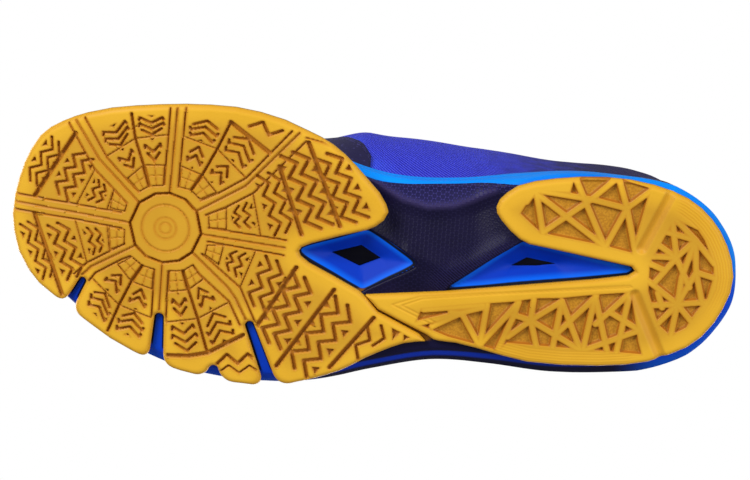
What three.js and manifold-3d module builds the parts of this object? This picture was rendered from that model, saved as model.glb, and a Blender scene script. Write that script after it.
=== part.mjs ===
// A right-foot court shoe, as separate sole, upper and tongue pieces.
// Millimetres. +X points to the toe, +Y to the inner (medial) side and +Z up; the shoe stands on its tread.
import * as THREE from "three";
import { mergeVertices } from "three/addons/utils/BufferGeometryUtils.js";
import Module from "manifold-3d";

const wasm = await Module();
wasm.setup();

// ---- Driving sizes ----
const GAP = 0.3; // clearance between neighbouring pieces
const TOE_X = 143; // front of the sole's upper rim
const HEEL_X = -141; // back of it
const TREAD_THICKNESS = 3.5;
const TREAD_GROOVE_DEPTH = 1.6;
const FOOTBED_HEEL = 22; // midsole height under the heel
const FOOTBED_BALL = 15; // and under the ball of the foot
const RIM_HEEL = 30; // height of the midsole's side wall at the heel
const RIM_WAIST = 28;
const RIM_BALL = 23;
const RIM_WALL = 2.0; // thickness of that wall at its top
const TOE_SPRING = 0.002; // lift of the toe, per mm squared forward of the ball
const TOE_SPRING_FROM = 68;
const HEEL_BEVEL = 0.004;
const HEEL_BEVEL_FROM = -125;
const ARCH_RISE = 10; // how far the underside climbs under the inner arch
const SHANK_THICKNESS = 1.8;
const WINDOW_DEPTH = 6; // depth of the two cushioning windows in the midsole
const WINDOW_PAD_THICKNESS = 0.8;
const PIVOT_X = 85; // centre of the turning disc under the ball
const PIVOT_RADIUS = 14.6;
const PIVOT_GROOVE = 1.3;
const STROBEL_THICKNESS = 1.2;
const SOCKLINER_THICKNESS = 4;
const UPPER_THICKNESS = 1.3;
const OVERLAY_THICKNESS = 1.1;
const LINING_THICKNESS = 0.8;
const STIFFENER_THICKNESS = 1.0;
const COLLAR_PADDING = 6.3;
const COLLAR_BOTTOM = 62; // height where the collar padding starts
const TONGUE_THICKNESS = 5.4;
const TONGUE_FOLD_X = -3;
const TONGUE_GAP = 1.2;
const THROAT_FRONT = 64;
const THROAT_HALF = 9; // half width of the lacing gap at its front
const THROAT_SPREAD = 0.1; // how much it widens per mm towards the ankle
const EYESTAY_WIDTH = 14;
const EYELETS = 6;
const EYELET_RADIUS = 2.2;
const EYELET_PITCH = 9.5;
const EYELET_INSET = 6.5; // from the edge of the lacing gap
const AROUND = 48; // facets round the upper
const UP = 8; // facets from the sole to the ridge

// Layer faces, measured outwards from the last's surface.
const UPPER = [0, UPPER_THICKNESS];
const OVERLAY = [UPPER[1] + GAP, UPPER[1] + GAP + OVERLAY_THICKNESS];
const STIFFENER = [-GAP - STIFFENER_THICKNESS, -GAP];
const LINING = [STIFFENER[0] - GAP - LINING_THICKNESS, STIFFENER[0] - GAP];
const PADDING = [-GAP - COLLAR_PADDING, -GAP];
const COLLAR_LINING = [PADDING[0] - GAP - LINING_THICKNESS, PADDING[0] - GAP];
const TONGUE = [LINING[0] - 0.6 - TONGUE_THICKNESS, LINING[0] - 0.6];

// ---- Plan outlines, from the toe round the inner side to the heel and back ----
const TOE_HALF = [[138, 16], [125, 31], [106, 39.5], [85, 43.7], [62, 44.5], [42, 40.5]];
const INNER_WAIST = [[25, 34], [8, 27], [-10, 24], [-33, 25.2], [-56, 29], [-78, 31.5], [-98, 31.2]];
const HEEL_ROUND = [[-116, 28], [-130, 21], [-138.5, 10], [HEEL_X, -1], [-138, -13.5], [-129.5, -24.5]];
const OUTER_SIDE = [[-116, -31.5], [-97, -35.5], [-75, -38], [-50, -37.5], [-25, -38.5], [0, -45], [25, -53]];
const OUTER_TOE = [[48, -55.5], [74, -52.5], [98, -44], [117, -34], [131, -25], [140, -15]];
const RIM_POINTS = [[TOE_X, -3], ...TOE_HALF, ...INNER_WAIST, ...HEEL_ROUND, ...OUTER_SIDE, ...OUTER_TOE];

const FLANK_LEAN = 4.5; // how much wider the midsole is at its base than at its rim
const FLANK_LEAN_WAIST = 0.8; // and on the inner waist

const FOREFOOT_PAD = [
  [149, -3.4], [147.5, 10], [145, 20], [140, 30], [130, 38], [120, 43], [110, 46.5], [100, 48.5],
  [85, 50.8], [70, 52], [60, 52], [50, 50.8], [40, 48.5], [30, 45], [20, 40.3], [10, 32], [0, 22],
  [-4, 14.5], [-2, 10.5], [4, 6.2], [30.5, -5], [4, -19.8], [-4, -27.5], [-22, -36], [-23.5, -38.3],
  [-15, -40], [-5, -45], [5, -51], [15, -56], [30, -60.5], [45, -62.3], [55, -61.7], [70, -59.5],
  [80, -58.3], [92, -53], [110, -45], [126, -35], [135, -30], [140, -25], [145, -18], [148, -10],
];
const REARFOOT_PAD = [
  [1, -20.4], [-20, -17.7], [-31, -16.2], [-50, -13], [-70, -9.5], [-90, -6], [-103, -3],
  [-105.5, -1], [-104, 0.7], [-70, 5.3], [-60, 7], [-56, 9], [-50, 14.5], [-47.3, 20],
  [-50, 25.5], [-55, 30], [-70, 34], [-90, 36.5], [-110, 35.8], [-125, 32.5], [-135, 26],
  [-140, 20], [-143, 14], [-145, 8], [-146, 0], [-145, -7], [-143, -14], [-140, -20.5],
  [-135, -27], [-127, -33.2], [-115, -39], [-100, -41.8], [-80, -43.3], [-60, -42.7],
  [-45, -39.7], [-30, -37.6], [-26.5, -37.8], [-23, -33.5], [-5, -25],
];
const SHANK_PLATE = [
  [24, 31.5], [12, 28], [2, 24], [-10, 23.2], [-33, 24.4], [-52, 27], [-62, 27], [-57, 20],
  [-61, 9.5], [-57.5, 4.5], [-32, -14.5], [-12, -16.5], [1, -17.6], [-14.5, -6.5], [3, 4], [2, 12],
  [10, 20],
];
const FRONT_WINDOW = [[29, -5], [4, 4.6], [-14.5, -6.5], [4, -18.2]];
const FRONT_WINDOW_FLOOR = [[17.5, -6.2], [5.5, -2], [-2.8, -6.8], [5.7, -11]];
const REAR_WINDOW = [[-33, -14.6], [-59, 5.2], [-103, -0.2], [-103, -2.4], [-68, -8.6]];
const REAR_WINDOW_FLOOR = [[-57, -6.6], [-61.5, -1.6], [-76, -2.4], [-76, -4], [-66, -6.4]];
// Each notch in the forefoot tread: its inner end, then the two points where it leaves the edge.
const NOTCHES = [
  [[118.5, -25.5], [128, -39], [121, -44]],
  [[85.3, -36.5], [93, -62], [79, -66]],
  [[61.5, -56], [66, -66], [57, -66]],
  [[48.2, -36.5], [42, -68], [33, -68]],
];
const SPOKES = [2, 39, 93, 147, 184, 219, 271, 325]; // directions of the grooves leaving the disc, degrees
const SPOKE_REACH = [46, 30, 27, 42, 30, 34, 18, 24];

// ---- Height rules ----
const lift = (x) => TOE_SPRING * Math.max(x - TOE_SPRING_FROM, 0) ** 2 + HEEL_BEVEL * Math.max(HEEL_BEVEL_FROM - x, 0) ** 2;
const smooth = (a, b, x) => {
  const t = Math.min(Math.max((x - a) / (b - a), 0), 1);
  return t * t * (3 - 2 * t);
};
const footbed = (x) => FOOTBED_HEEL + (FOOTBED_BALL - FOOTBED_HEEL) * smooth(-60, 45, x) + lift(x);
const rim = (x) => RIM_HEEL + (RIM_WAIST - RIM_HEEL) * smooth(-100, -20, x)
  + (RIM_BALL - RIM_WAIST) * smooth(-10, 50, x) + lift(x);
const arch = (x, y) => ARCH_RISE * smooth(34 - (30 - y), 4 - (30 - y) * 0.5, x) * smooth(-62, -38, x)
  * smooth(-14, 28, y);
const underside = (x, y) => lift(x) + TREAD_THICKNESS + GAP + arch(x, y);

const RIDGE = new THREE.SplineCurve([
  [-92, 127], [-50, 126], [-20, 121], [0, 113], [20, 102], [40, 90], [60, 78], [80, 69], [100, 61], [117, 53],
].map(([x, z]) => new THREE.Vector2(x, z))).getSpacedPoints(120);
const ridgeZ = (x) => {
  let k = 1;
  while (k < RIDGE.length - 1 && RIDGE[k].x < x) k += 1;
  const t = (x - RIDGE[k - 1].x) / (RIDGE[k].x - RIDGE[k - 1].x);
  return RIDGE[k - 1].y + (RIDGE[k].y - RIDGE[k - 1].y) * t;
};
const ridgeY = (x) => -4 + 5 * smooth(30, 120, x) + 1 * smooth(-40, -100, x);

// ---- Outlines ----
function closedCurve(points, count) {
  const curve = new THREE.CatmullRomCurve3(points.map(([x, y]) => new THREE.Vector3(x, y, 0)), true, "centripetal");
  return curve.getSpacedPoints(count).slice(0, count).map((p) => [p.x, p.y]);
}

// Moves every edge of a closed outline outwards by amount(x, y), or inwards where that is negative.
function grow(outline, amount) {
  const normal = ([ax, ay], [bx, by]) => {
    const size = Math.hypot(bx - ax, by - ay);
    return [(by - ay) / size, (ax - bx) / size];
  };
  return outline.map(([x, y], i) => {
    const before = normal(outline[(i + outline.length - 1) % outline.length], [x, y]);
    const after = normal([x, y], outline[(i + 1) % outline.length]);
    const spread = Math.max(1 + before[0] * after[0] + before[1] * after[1], 0.15);
    const d = amount(x, y) / spread;
    return [x + d * (before[0] + after[0]), y + d * (before[1] + after[1])];
  });
}

// The two sides of a closed outline as functions y(x), with its front and back ends.
function sides(outline) {
  let front = 0;
  let back = 0;
  outline.forEach(([x], i) => {
    if (x > outline[front][0]) front = i;
    if (x < outline[back][0]) back = i;
  });
  const walk = (from, to) => {
    const run = [];
    for (let i = from; i !== to; i = (i + 1) % outline.length) run.push(outline[i]);
    return [...run, outline[to]];
  };
  const at = (run, x) => {
    const up = run[0][0] < run[run.length - 1][0];
    let k = 1;
    while (k < run.length - 1 && (up ? run[k][0] < x : run[k][0] > x)) k += 1;
    const [ax, ay] = run[k - 1];
    const [bx, by] = run[k];
    const t = bx === ax ? 0 : Math.min(Math.max((x - ax) / (bx - ax), 0), 1);
    return ay + (by - ay) * t;
  };
  const inner = walk(front, back);
  const outer = walk(back, front);
  return {
    front: outline[front][0],
    back: outline[back][0],
    inner: (x) => at(inner, x),
    outer: (x) => at(outer, x),
  };
}

const onInnerWaist = (x, y) => (y > 0 ? smooth(48, 20, x) * smooth(-80, -40, x) : 0);
const rimOutline = closedCurve(RIM_POINTS, 64);
const baseOutline = grow(rimOutline, (x, y) => FLANK_LEAN + (FLANK_LEAN_WAIST - FLANK_LEAN) * onInnerWaist(x, y));
const LAST_INSET = RIM_WALL + GAP + OVERLAY[1];
const lastSides = sides(grow(closedCurve(RIM_POINTS, 720), () => -LAST_INSET));

// ---- The last: the surface that the upper is shaped on ----
const fullness = (x) => 3.1 - 0.6 * smooth(-110, -30, x) - 0.35 * smooth(10, 110, x);
const archBulge = (x) => 12.5 * smooth(-78, -8, x) * smooth(32, 4, x) - 2.4 * smooth(-55, -90, x) * smooth(-136, -112, x);

function lastPoint(a, t) {
  const middle = (lastSides.front + lastSides.back) / 2;
  const half = (lastSides.front - lastSides.back) / 2;
  const x = middle + half * Math.cos(a);
  const inner = Math.sin(a) >= 0;
  const y = inner ? lastSides.inner(x) : lastSides.outer(x);
  const share = (x - lastSides.back) / (2 * half);
  const ridgeX = -92 + share * 209;
  const phi = (t * Math.PI) / 2;
  const n = fullness(x);
  const r = (Math.cos(phi) ** n + Math.sin(phi) ** n) ** (-1 / n);
  const across = 1 - r * Math.cos(phi);
  const up = r * Math.sin(phi);
  const bulge = inner ? archBulge(x) * Math.sin(Math.PI * Math.min(up, 1)) : 0;
  return new THREE.Vector3(
    x + (ridgeX - x) * across,
    y + (ridgeY(ridgeX) - y) * across + bulge,
    footbed(x) + (ridgeZ(ridgeX) - footbed(x)) * up,
  );
}

function lastNormal(a, t) {
  const e = 0.01;
  if (t > 0.999) {
    const p = lastPoint(a - e, 1);
    const q = lastPoint(a + e, 1);
    const front = lastPoint(Math.acos(Math.min(Math.cos(a) + 0.01, 1)), 1);
    const back = lastPoint(Math.acos(Math.max(Math.cos(a) - 0.01, -1)), 1);
    const along = Math.abs(p.x - q.x) > 1e-6 ? p.sub(q) : front.sub(back);
    return new THREE.Vector3(-along.z * Math.sign(along.x), 0, Math.abs(along.x)).normalize();
  }
  const du = lastPoint(a + e, t).sub(lastPoint(a - e, t));
  const dv = lastPoint(a, Math.min(t + e, 1)).sub(lastPoint(a, Math.max(t - e, 0)));
  return du.cross(dv).normalize();
}

// ---- Solids ----
function solid(vertices, triangles) {
  const geometry = new THREE.BufferGeometry()
    .setAttribute("position", new THREE.Float32BufferAttribute(vertices.flat(), 3))
    .setIndex(triangles.flat());
  return toManifold(geometry);
}

function toManifold(geometry) {
  const plain = geometry.clone();
  plain.deleteAttribute("normal");
  plain.deleteAttribute("uv");
  const merged = mergeVertices(plain, 1e-4);
  return new wasm.Manifold(new wasm.Mesh({
    numProp: 3,
    vertProperties: merged.attributes.position.array,
    triVerts: new Uint32Array(merged.index.array),
  }));
}

// A polygon in plan, standing from z0 to z1.
function prism(outline, z0, z1) {
  const shape = new THREE.Shape(outline.map(([x, y]) => new THREE.Vector2(x, y)));
  const geometry = new THREE.ExtrudeGeometry(shape, { depth: z1 - z0, bevelEnabled: false });
  return toManifold(geometry.translate(0, 0, z0));
}

// A polygon of (x, z) points in the side view, running from y0 to y1.
function sidePrism(outline, y0, y1) {
  const shape = new THREE.Shape(outline.map(([x, z]) => new THREE.Vector2(x, z)));
  const geometry = new THREE.ExtrudeGeometry(shape, { depth: y1 - y0, bevelEnabled: false });
  return toManifold(geometry.rotateX(Math.PI / 2).translate(0, y1, 0));
}

// A straight-walled loft between two plan outlines with the same number of points.
function loft(low, z0, high, z1) {
  const n = low.length;
  const vertices = [...low.map(([x, y]) => [x, y, z0]), ...high.map(([x, y]) => [x, y, z1])];
  const caps = (ring) => THREE.ShapeUtils.triangulateShape(ring.map(([x, y]) => new THREE.Vector2(x, y)), []);
  const triangles = [];
  caps(low).forEach(([a, b, c]) => triangles.push([a, c, b]));
  caps(high).forEach(([a, b, c]) => triangles.push([n + a, n + b, n + c]));
  for (let i = 0; i < n; i += 1) {
    const j = (i + 1) % n;
    triangles.push([i, j, n + j], [i, n + j, n + i]);
  }
  const made = solid(vertices, triangles);
  return made;
}

// A slab over a grid of plan stations, between two height rules.
function slab(xs, ys, low, high) {
  const vertices = [];
  const triangles = [];
  const id = (layer, i, j) => (layer * xs.length + i) * ys.length + j;
  [low, high].forEach((rule) => xs.forEach((x) => ys.forEach((y) => vertices.push([x, y, rule(x, y)]))));
  const quad = (a, b, c, d) => triangles.push([a, b, c], [a, c, d]);
  for (let i = 0; i < xs.length - 1; i += 1) {
    for (let j = 0; j < ys.length - 1; j += 1) {
      quad(id(0, i, j), id(0, i, j + 1), id(0, i + 1, j + 1), id(0, i + 1, j));
      quad(id(1, i, j), id(1, i + 1, j), id(1, i + 1, j + 1), id(1, i, j + 1));
    }
  }
  for (let i = 0; i < xs.length - 1; i += 1) {
    const last = ys.length - 1;
    quad(id(0, i, 0), id(0, i + 1, 0), id(1, i + 1, 0), id(1, i, 0));
    quad(id(0, i + 1, last), id(0, i, last), id(1, i, last), id(1, i + 1, last));
  }
  for (let j = 0; j < ys.length - 1; j += 1) {
    const last = xs.length - 1;
    quad(id(0, 0, j + 1), id(0, 0, j), id(1, 0, j), id(1, 0, j + 1));
    quad(id(0, last, j), id(0, last, j + 1), id(1, last, j + 1), id(1, last, j));
  }
  return solid(vertices, triangles);
}

// One closed layer of the upper, between two distances from the last.
function layer([inside, outside]) {
  const vertices = [];
  const triangles = [];
  const id = (side, i, j) => (side * AROUND + ((i + AROUND) % AROUND)) * (UP + 1) + j;
  [outside, inside].forEach((distance) => {
    for (let i = 0; i < AROUND; i += 1) {
      for (let j = 0; j <= UP; j += 1) {
        // Stations on both sides of the ridge share their ridge point.
        const across = j === UP && i > AROUND / 2 ? AROUND - i : i;
        const a = (2 * Math.PI * across) / AROUND;
        const p = lastPoint(a, j / UP).addScaledVector(lastNormal(a, j / UP), distance);
        vertices.push([p.x, p.y, p.z]);
      }
    }
  });
  for (let i = 0; i < AROUND; i += 1) {
    for (let j = 0; j < UP; j += 1) {
      triangles.push([id(0, i, j), id(0, i + 1, j), id(0, i + 1, j + 1)]);
      triangles.push([id(0, i, j), id(0, i + 1, j + 1), id(0, i, j + 1)]);
      triangles.push([id(1, i, j), id(1, i + 1, j + 1), id(1, i + 1, j)]);
      triangles.push([id(1, i, j), id(1, i, j + 1), id(1, i + 1, j + 1)]);
    }
    triangles.push([id(0, i, 0), id(1, i, 0), id(1, i + 1, 0)]);
    triangles.push([id(0, i, 0), id(1, i + 1, 0), id(0, i + 1, 0)]);
  }
  return solid(vertices, triangles);
}

// Everything inside a given distance from the last, closed across the bottom at a height below the footbed.
function lastVolume(distance, drop) {
  const vertices = [];
  const triangles = [];
  const id = (i, j) => ((i + AROUND) % AROUND) * (UP + 1) + j;
  for (let i = 0; i < AROUND; i += 1) {
    for (let j = 0; j <= UP; j += 1) {
      const across = j === UP && i > AROUND / 2 ? AROUND - i : i;
      const a = (2 * Math.PI * across) / AROUND;
      const bare = lastPoint(a, j / UP);
      const p = bare.clone().addScaledVector(lastNormal(a, j / UP), distance);
      vertices.push([p.x, p.y, j === 0 ? bare.z - drop : p.z]);
    }
  }
  for (let i = 0; i < AROUND; i += 1) {
    for (let j = 0; j < UP; j += 1) {
      triangles.push([id(i, j), id(i + 1, j), id(i + 1, j + 1)]);
      triangles.push([id(i, j), id(i + 1, j + 1), id(i, j + 1)]);
    }
  }
  // The bottom runs straight across between stations that face each other.
  for (let i = 0; i < AROUND / 2; i += 1) {
    const near = [id(i, 0), id(i + 1, 0)];
    const far = [id(AROUND - i, 0), id(AROUND - i - 1, 0)];
    if (i > 0) triangles.push([near[0], far[0], near[1]]);
    if (i < AROUND / 2 - 1) triangles.push([near[1], far[0], far[1]]);
  }
  return solid(vertices, triangles);
}

const range = (from, to, count) => Array.from({ length: count + 1 }, (_, i) => from + ((to - from) * i) / count);
const SOLE_XS = [-160, -146, -139, -132, HEEL_BEVEL_FROM, TOE_SPRING_FROM, ...range(78, 158, 8)];
const WIDE = [-80, 80];

// ---- Outsole ----
function circle(x, y, r, count, turn = 0) {
  return range(0, 360, count).slice(0, count).map((deg) => {
    const a = ((deg + turn) * Math.PI) / 180;
    return [x + r * Math.cos(a), y + r * Math.sin(a)];
  });
}

function grooveFloor() {
  return slab(SOLE_XS, WIDE, () => -20, (x) => lift(x) + TREAD_GROOVE_DEPTH);
}

function spoke(angle, reach) {
  const a = (angle * Math.PI) / 180;
  const along = [Math.cos(a), Math.sin(a)];
  const half = PIVOT_GROOVE / 2;
  const start = PIVOT_RADIUS - 0.4;
  const corner = (d, s) => [PIVOT_X + along[0] * d - along[1] * s, along[1] * d + along[0] * s];
  return [corner(start, -half), corner(start + reach, -half), corner(start + reach, half), corner(start, half)];
}

function outsoleForefoot() {
  let pad = slab(SOLE_XS, WIDE, lift, (x) => lift(x) + TREAD_THICKNESS).intersect(prism(FOREFOOT_PAD, -10, 60));
  NOTCHES.forEach((notch) => {
    pad = pad.subtract(prism(notch, -10, 60));
  });
  let grooves = prism(circle(PIVOT_X, 0, PIVOT_RADIUS, 12), -20, 60)
    .subtract(prism(circle(PIVOT_X, 0, PIVOT_RADIUS - PIVOT_GROOVE, 12), -30, 70));
  SPOKES.forEach((angle, i) => {
    grooves = grooves.add(prism(spoke(angle, SPOKE_REACH[i]), -20, 60));
  });
  return pad.subtract(grooves.intersect(grooveFloor()));
}

function outsoleRearfoot() {
  return slab(SOLE_XS, WIDE, lift, (x) => lift(x) + TREAD_THICKNESS).intersect(prism(REARFOOT_PAD, -10, 60));
}

// ---- Midsole, shank and windows ----
const ARCH_XS = [-160, -146, -139, -132, HEEL_BEVEL_FROM, -62, -55, -48, -38, -20, 0, 12, 24, 36, 50, TOE_SPRING_FROM];
const MIDSOLE_XS = [...ARCH_XS, ...range(78, 158, 8)];
const ARCH_YS = [-80, -14, -4, 6, 14, 22, 28, 80];

function midsole() {
  const flank = loft(baseOutline, 0, rimOutline, RIM_WAIST).add(loft(rimOutline, RIM_WAIST - 0.01, rimOutline, 70));
  let body = slab(MIDSOLE_XS, ARCH_YS, underside, (x) => rim(x)).intersect(flank);
  body = body.subtract(lastVolume(OVERLAY[1] + GAP, 4 * GAP));
  const around = grow(SHANK_PLATE, () => GAP);
  body = body.subtract(slab(MIDSOLE_XS, ARCH_YS, () => -5, (x, y) => underside(x, y) + SHANK_THICKNESS + GAP)
    .intersect(prism(around, -10, 60)));
  const top = TREAD_THICKNESS + GAP + WINDOW_DEPTH;
  body = body.subtract(loft(FRONT_WINDOW, TREAD_THICKNESS, FRONT_WINDOW_FLOOR, top));
  return body.subtract(loft(REAR_WINDOW, TREAD_THICKNESS, REAR_WINDOW_FLOOR, top));
}

function shank() {
  return slab(MIDSOLE_XS, ARCH_YS, underside, (x, y) => underside(x, y) + SHANK_THICKNESS)
    .intersect(prism(SHANK_PLATE, -10, 60));
}

function windowPad(floor) {
  const top = TREAD_THICKNESS + WINDOW_DEPTH;
  const centre = floor.reduce(([x, y], p) => [x + p[0] / floor.length, y + p[1] / floor.length], [0, 0]);
  const small = floor.map(([x, y]) => [centre[0] + (x - centre[0]) * 0.8, centre[1] + (y - centre[1]) * 0.8]);
  return prism(small, top - WINDOW_PAD_THICKNESS, top);
}

// ---- Inside the shoe ----
function innerBoard(inset, low, thickness) {
  const outline = grow(closedCurve(RIM_POINTS, 48), () => -LAST_INSET - inset);
  const across = (rise) => (x) => footbed(x) + rise;
  const xs = [-160, -146, -139, -132, HEEL_BEVEL_FROM, ...range(-60, 45, 7), TOE_SPRING_FROM, ...range(78, 158, 8)];
  return slab(xs, WIDE, across(low), across(low + thickness)).intersect(prism(outline, -10, 80));
}

// ---- Upper ----
const FAR = 120;
const TOPLINE = new THREE.SplineCurve([
  [-152, 103], [-134, 100], [-119, 94], [-98, 83], [-72, 77], [-47, 80], [-27, 91], [-12, 103], [-2, 112],
].map(([x, z]) => new THREE.Vector2(x, z))).getSpacedPoints(20).map((p) => [p.x, p.y]);
const above = () => sidePrism([...TOPLINE, [4, 135], [4, 160], [-152, 160]], -FAR, FAR);

const throatHalf = (x) => THROAT_HALF + THROAT_SPREAD * (THROAT_FRONT - x);
function throatOutline(extra, back) {
  const round = range(-90, 90, 6).map((deg) => {
    const a = (deg * Math.PI) / 180;
    const r = THROAT_HALF + extra;
    return [THROAT_FRONT - THROAT_HALF + r * Math.cos(a), ridgeY(THROAT_FRONT) + r * Math.sin(a)];
  });
  const stations = range(THROAT_FRONT - THROAT_HALF - 8, back, 4);
  const inner = stations.map((x) => [x, ridgeY(x) + throatHalf(x) + extra]);
  const outer = stations.map((x) => [x, ridgeY(x) - throatHalf(x) - extra]).reverse();
  return [...round, ...inner, ...outer];
}
const throat = () => prism(throatOutline(0, -30), 55, 160);

function eyeletHoles() {
  let holes = null;
  for (let k = 0; k < EYELETS; k += 1) {
    const x = THROAT_FRONT - THROAT_HALF - 2 - k * EYELET_PITCH;
    [1, -1].forEach((side) => {
      const y = ridgeY(x) + side * (throatHalf(x) + EYELET_INSET);
      const hole = prism(circle(x, y, EYELET_RADIUS, 8), 55, 160);
      holes = holes ? holes.add(hole) : hole;
    });
  }
  return holes;
}

const cut = { above: above(), throat: throat(), holes: eyeletHoles() };
const open = (body) => body.subtract(cut.above).subtract(cut.throat);

// The seam between vamp and quarters, in the side view.
const SEAM = [[12, -10], [12, 40], [28, 75], [28, 160]];
const ahead = (shift) => [...SEAM.map(([x, z]) => [x + shift, z]), [FAR * 2, 160], [FAR * 2, -10]];
const behind = (shift) => [[-FAR * 2, -10], ...SEAM.map(([x, z]) => [x + shift, z]), [-FAR * 2, 160]];
const BACK_SEAM_Y = -1;

const parts = { upper: open(layer(UPPER)), lining: open(layer(LINING)), overlay: open(layer(OVERLAY)) };

const vamp = () => parts.upper.intersect(sidePrism(ahead(0), -FAR, FAR)).subtract(cut.holes);
function quarter(side) {
  const y = BACK_SEAM_Y + (side * GAP) / 2;
  const half = sidePrism(behind(-GAP), Math.min(y, side * FAR), Math.max(y, side * FAR));
  return parts.upper.intersect(half).subtract(cut.holes);
}

const EYESTAY_SIDE = [[-16, 101], [-4, 86], [THROAT_FRONT - 6, 48], [THROAT_FRONT - 2, 160], [-16, 160]];
function eyestay(side) {
  const y = ridgeY(0) + side * 3;
  const half = sidePrism(EYESTAY_SIDE, Math.min(y, side * FAR), Math.max(y, side * FAR));
  const band = prism(throatOutline(EYESTAY_WIDTH, EYESTAY_SIDE[0][0]), 40, 160).intersect(half);
  return parts.overlay.intersect(band).subtract(cut.holes);
}

const TOE_OVERLAY = [[5, -10], [5, 32], [9, 42], [16, 50], [44, 53], [78, 50], [98, 58], [101, 100], [200, 100], [200, -10]];
const toeOverlay = () => parts.overlay.intersect(sidePrism(TOE_OVERLAY, -FAR, FAR));
const HEEL_OVERLAY = [[-200, -10], [-94, -10], [-98, 40], [-110, 62], [-124, 78], [-127, 120], [-200, 120]];
const heelOverlay = () => parts.overlay.intersect(sidePrism(HEEL_OVERLAY, -FAR, FAR));

const heelCounter = () => layer(STIFFENER)
  .intersect(sidePrism([[-200, 0], [-68, 0], [-76, COLLAR_BOTTOM - 4], [-200, COLLAR_BOTTOM - 2]], -FAR, FAR));
const toePuff = () => layer(STIFFENER).intersect(sidePrism([[104, 0], [200, 0], [200, 90], [98, 90]], -FAR, FAR));

const COLLAR_FRONT = [[-17, -10], [-17, 160]];
const COLLAR = [[-200, COLLAR_BOTTOM], [-40, COLLAR_BOTTOM], [-17, 84], [-17, 160], [-200, 160]];
const UNDER_COLLAR = [[-200, -10], [200, -10], [200, 160], [-17 + GAP, 160], [-17 + GAP, 84 - GAP],
  [-40 + GAP, COLLAR_BOTTOM - GAP], [-200, COLLAR_BOTTOM - GAP]];
const footLining = () => parts.lining.intersect(sidePrism(UNDER_COLLAR, -FAR, FAR)).subtract(cut.holes);
const collarPiece = (faces) => layer(faces).subtract(cut.above).subtract(cut.throat)
  .intersect(sidePrism(COLLAR, -FAR, FAR));

// ---- Tongue ----
function tongueOutline(from, to, half) {
  const xs = range(from, to, 6);
  const ringUp = xs.map((x) => [x, ridgeY(x) + half(x)]);
  const ringDown = xs.map((x) => [x, ridgeY(x) - half(x)]).reverse();
  return [...ringUp, ...ringDown];
}
const TONGUE_ROOT_X = 76;
const TONGUE_TIP_X = -30;
const TONGUE_FREE_HALF = 14.5;
const lowerHalf = (x) => 11 + 9 * smooth(TONGUE_ROOT_X, 30, x);
const upperHalf = (x) => TONGUE_FREE_HALF * Math.sqrt(1 - 0.75 * smooth(-18, TONGUE_TIP_X, x) ** 2);
function tongueLower() {
  const plan = tongueOutline(TONGUE_FOLD_X + TONGUE_GAP / 2, TONGUE_ROOT_X, lowerHalf).reverse();
  return layer(TONGUE).intersect(prism(plan, 50, 160));
}
function tongueUpper() {
  const plan = tongueOutline(TONGUE_TIP_X, TONGUE_FOLD_X - TONGUE_GAP / 2, upperHalf).reverse();
  return layer(TONGUE).intersect(prism(plan, 80, 160));
}

// ---- Colours ----
const COLOUR = {
  gum: [0xe2b43a, 0.62, 0],
  azure: [0x0a8cf0, 0.5, 0],
  navy: [0x1e1646, 0.55, 0],
  violet: [0x3c32c8, 0.8, 0],
  black: [0x101014, 0.8, 0],
  board: [0xb9b4a4, 0.95, 0],
  foam: [0x2a2a36, 0.95, 0],
  inside: [0x23235a, 0.9, 0],
};

const group = new THREE.Group();
group.name = "court_shoe";

function add(name, body, [colour, roughness, metalness]) {
  const mesh = body.getMesh();
  const geometry = new THREE.BufferGeometry()
    .setAttribute("position", new THREE.Float32BufferAttribute(mesh.vertProperties, mesh.numProp))
    .setIndex([...mesh.triVerts]);
  geometry.computeVertexNormals();
  const made = new THREE.Mesh(geometry, new THREE.MeshStandardMaterial({ color: colour, roughness, metalness }));
  made.name = name;
  group.add(made);
}

add("outsole_forefoot", outsoleForefoot(), COLOUR.gum);
add("outsole_rearfoot", outsoleRearfoot(), COLOUR.gum);
add("midsole", midsole(), COLOUR.azure);
add("shank", shank(), COLOUR.navy);
add("window_pad_front", windowPad(FRONT_WINDOW_FLOOR), COLOUR.black);
add("window_pad_rear", windowPad(REAR_WINDOW_FLOOR), COLOUR.black);
add("strobel_board", innerBoard(-LINING[0] + 3 * GAP, GAP, STROBEL_THICKNESS), COLOUR.board);
add("sockliner", innerBoard(-LINING[0] + 4 * GAP, 2 * GAP + STROBEL_THICKNESS, SOCKLINER_THICKNESS), COLOUR.foam);
add("heel_counter", heelCounter(), COLOUR.board);
add("toe_puff", toePuff(), COLOUR.board);
add("vamp", vamp(), COLOUR.violet);
add("quarter_medial", quarter(1), COLOUR.violet);
add("quarter_lateral", quarter(-1), COLOUR.violet);
add("eyestay_medial", eyestay(1), COLOUR.navy);
add("eyestay_lateral", eyestay(-1), COLOUR.navy);
add("toe_overlay", toeOverlay(), COLOUR.navy);
add("heel_overlay", heelOverlay(), COLOUR.navy);
add("foot_lining", footLining(), COLOUR.inside);
add("collar_padding", collarPiece(PADDING), COLOUR.foam);
add("collar_lining", collarPiece(COLLAR_LINING), COLOUR.inside);
add("tongue_lower", tongueLower(), COLOUR.violet);
add("tongue_upper", tongueUpper(), COLOUR.violet);

// The part's origin is the middle of its own footprint, at floor level.
const box = new THREE.Box3().setFromObject(group);
const centre = box.getCenter(new THREE.Vector3());
group.children.forEach((mesh) => mesh.geometry.translate(-centre.x, -centre.y, -box.min.z));

export default group;
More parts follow.
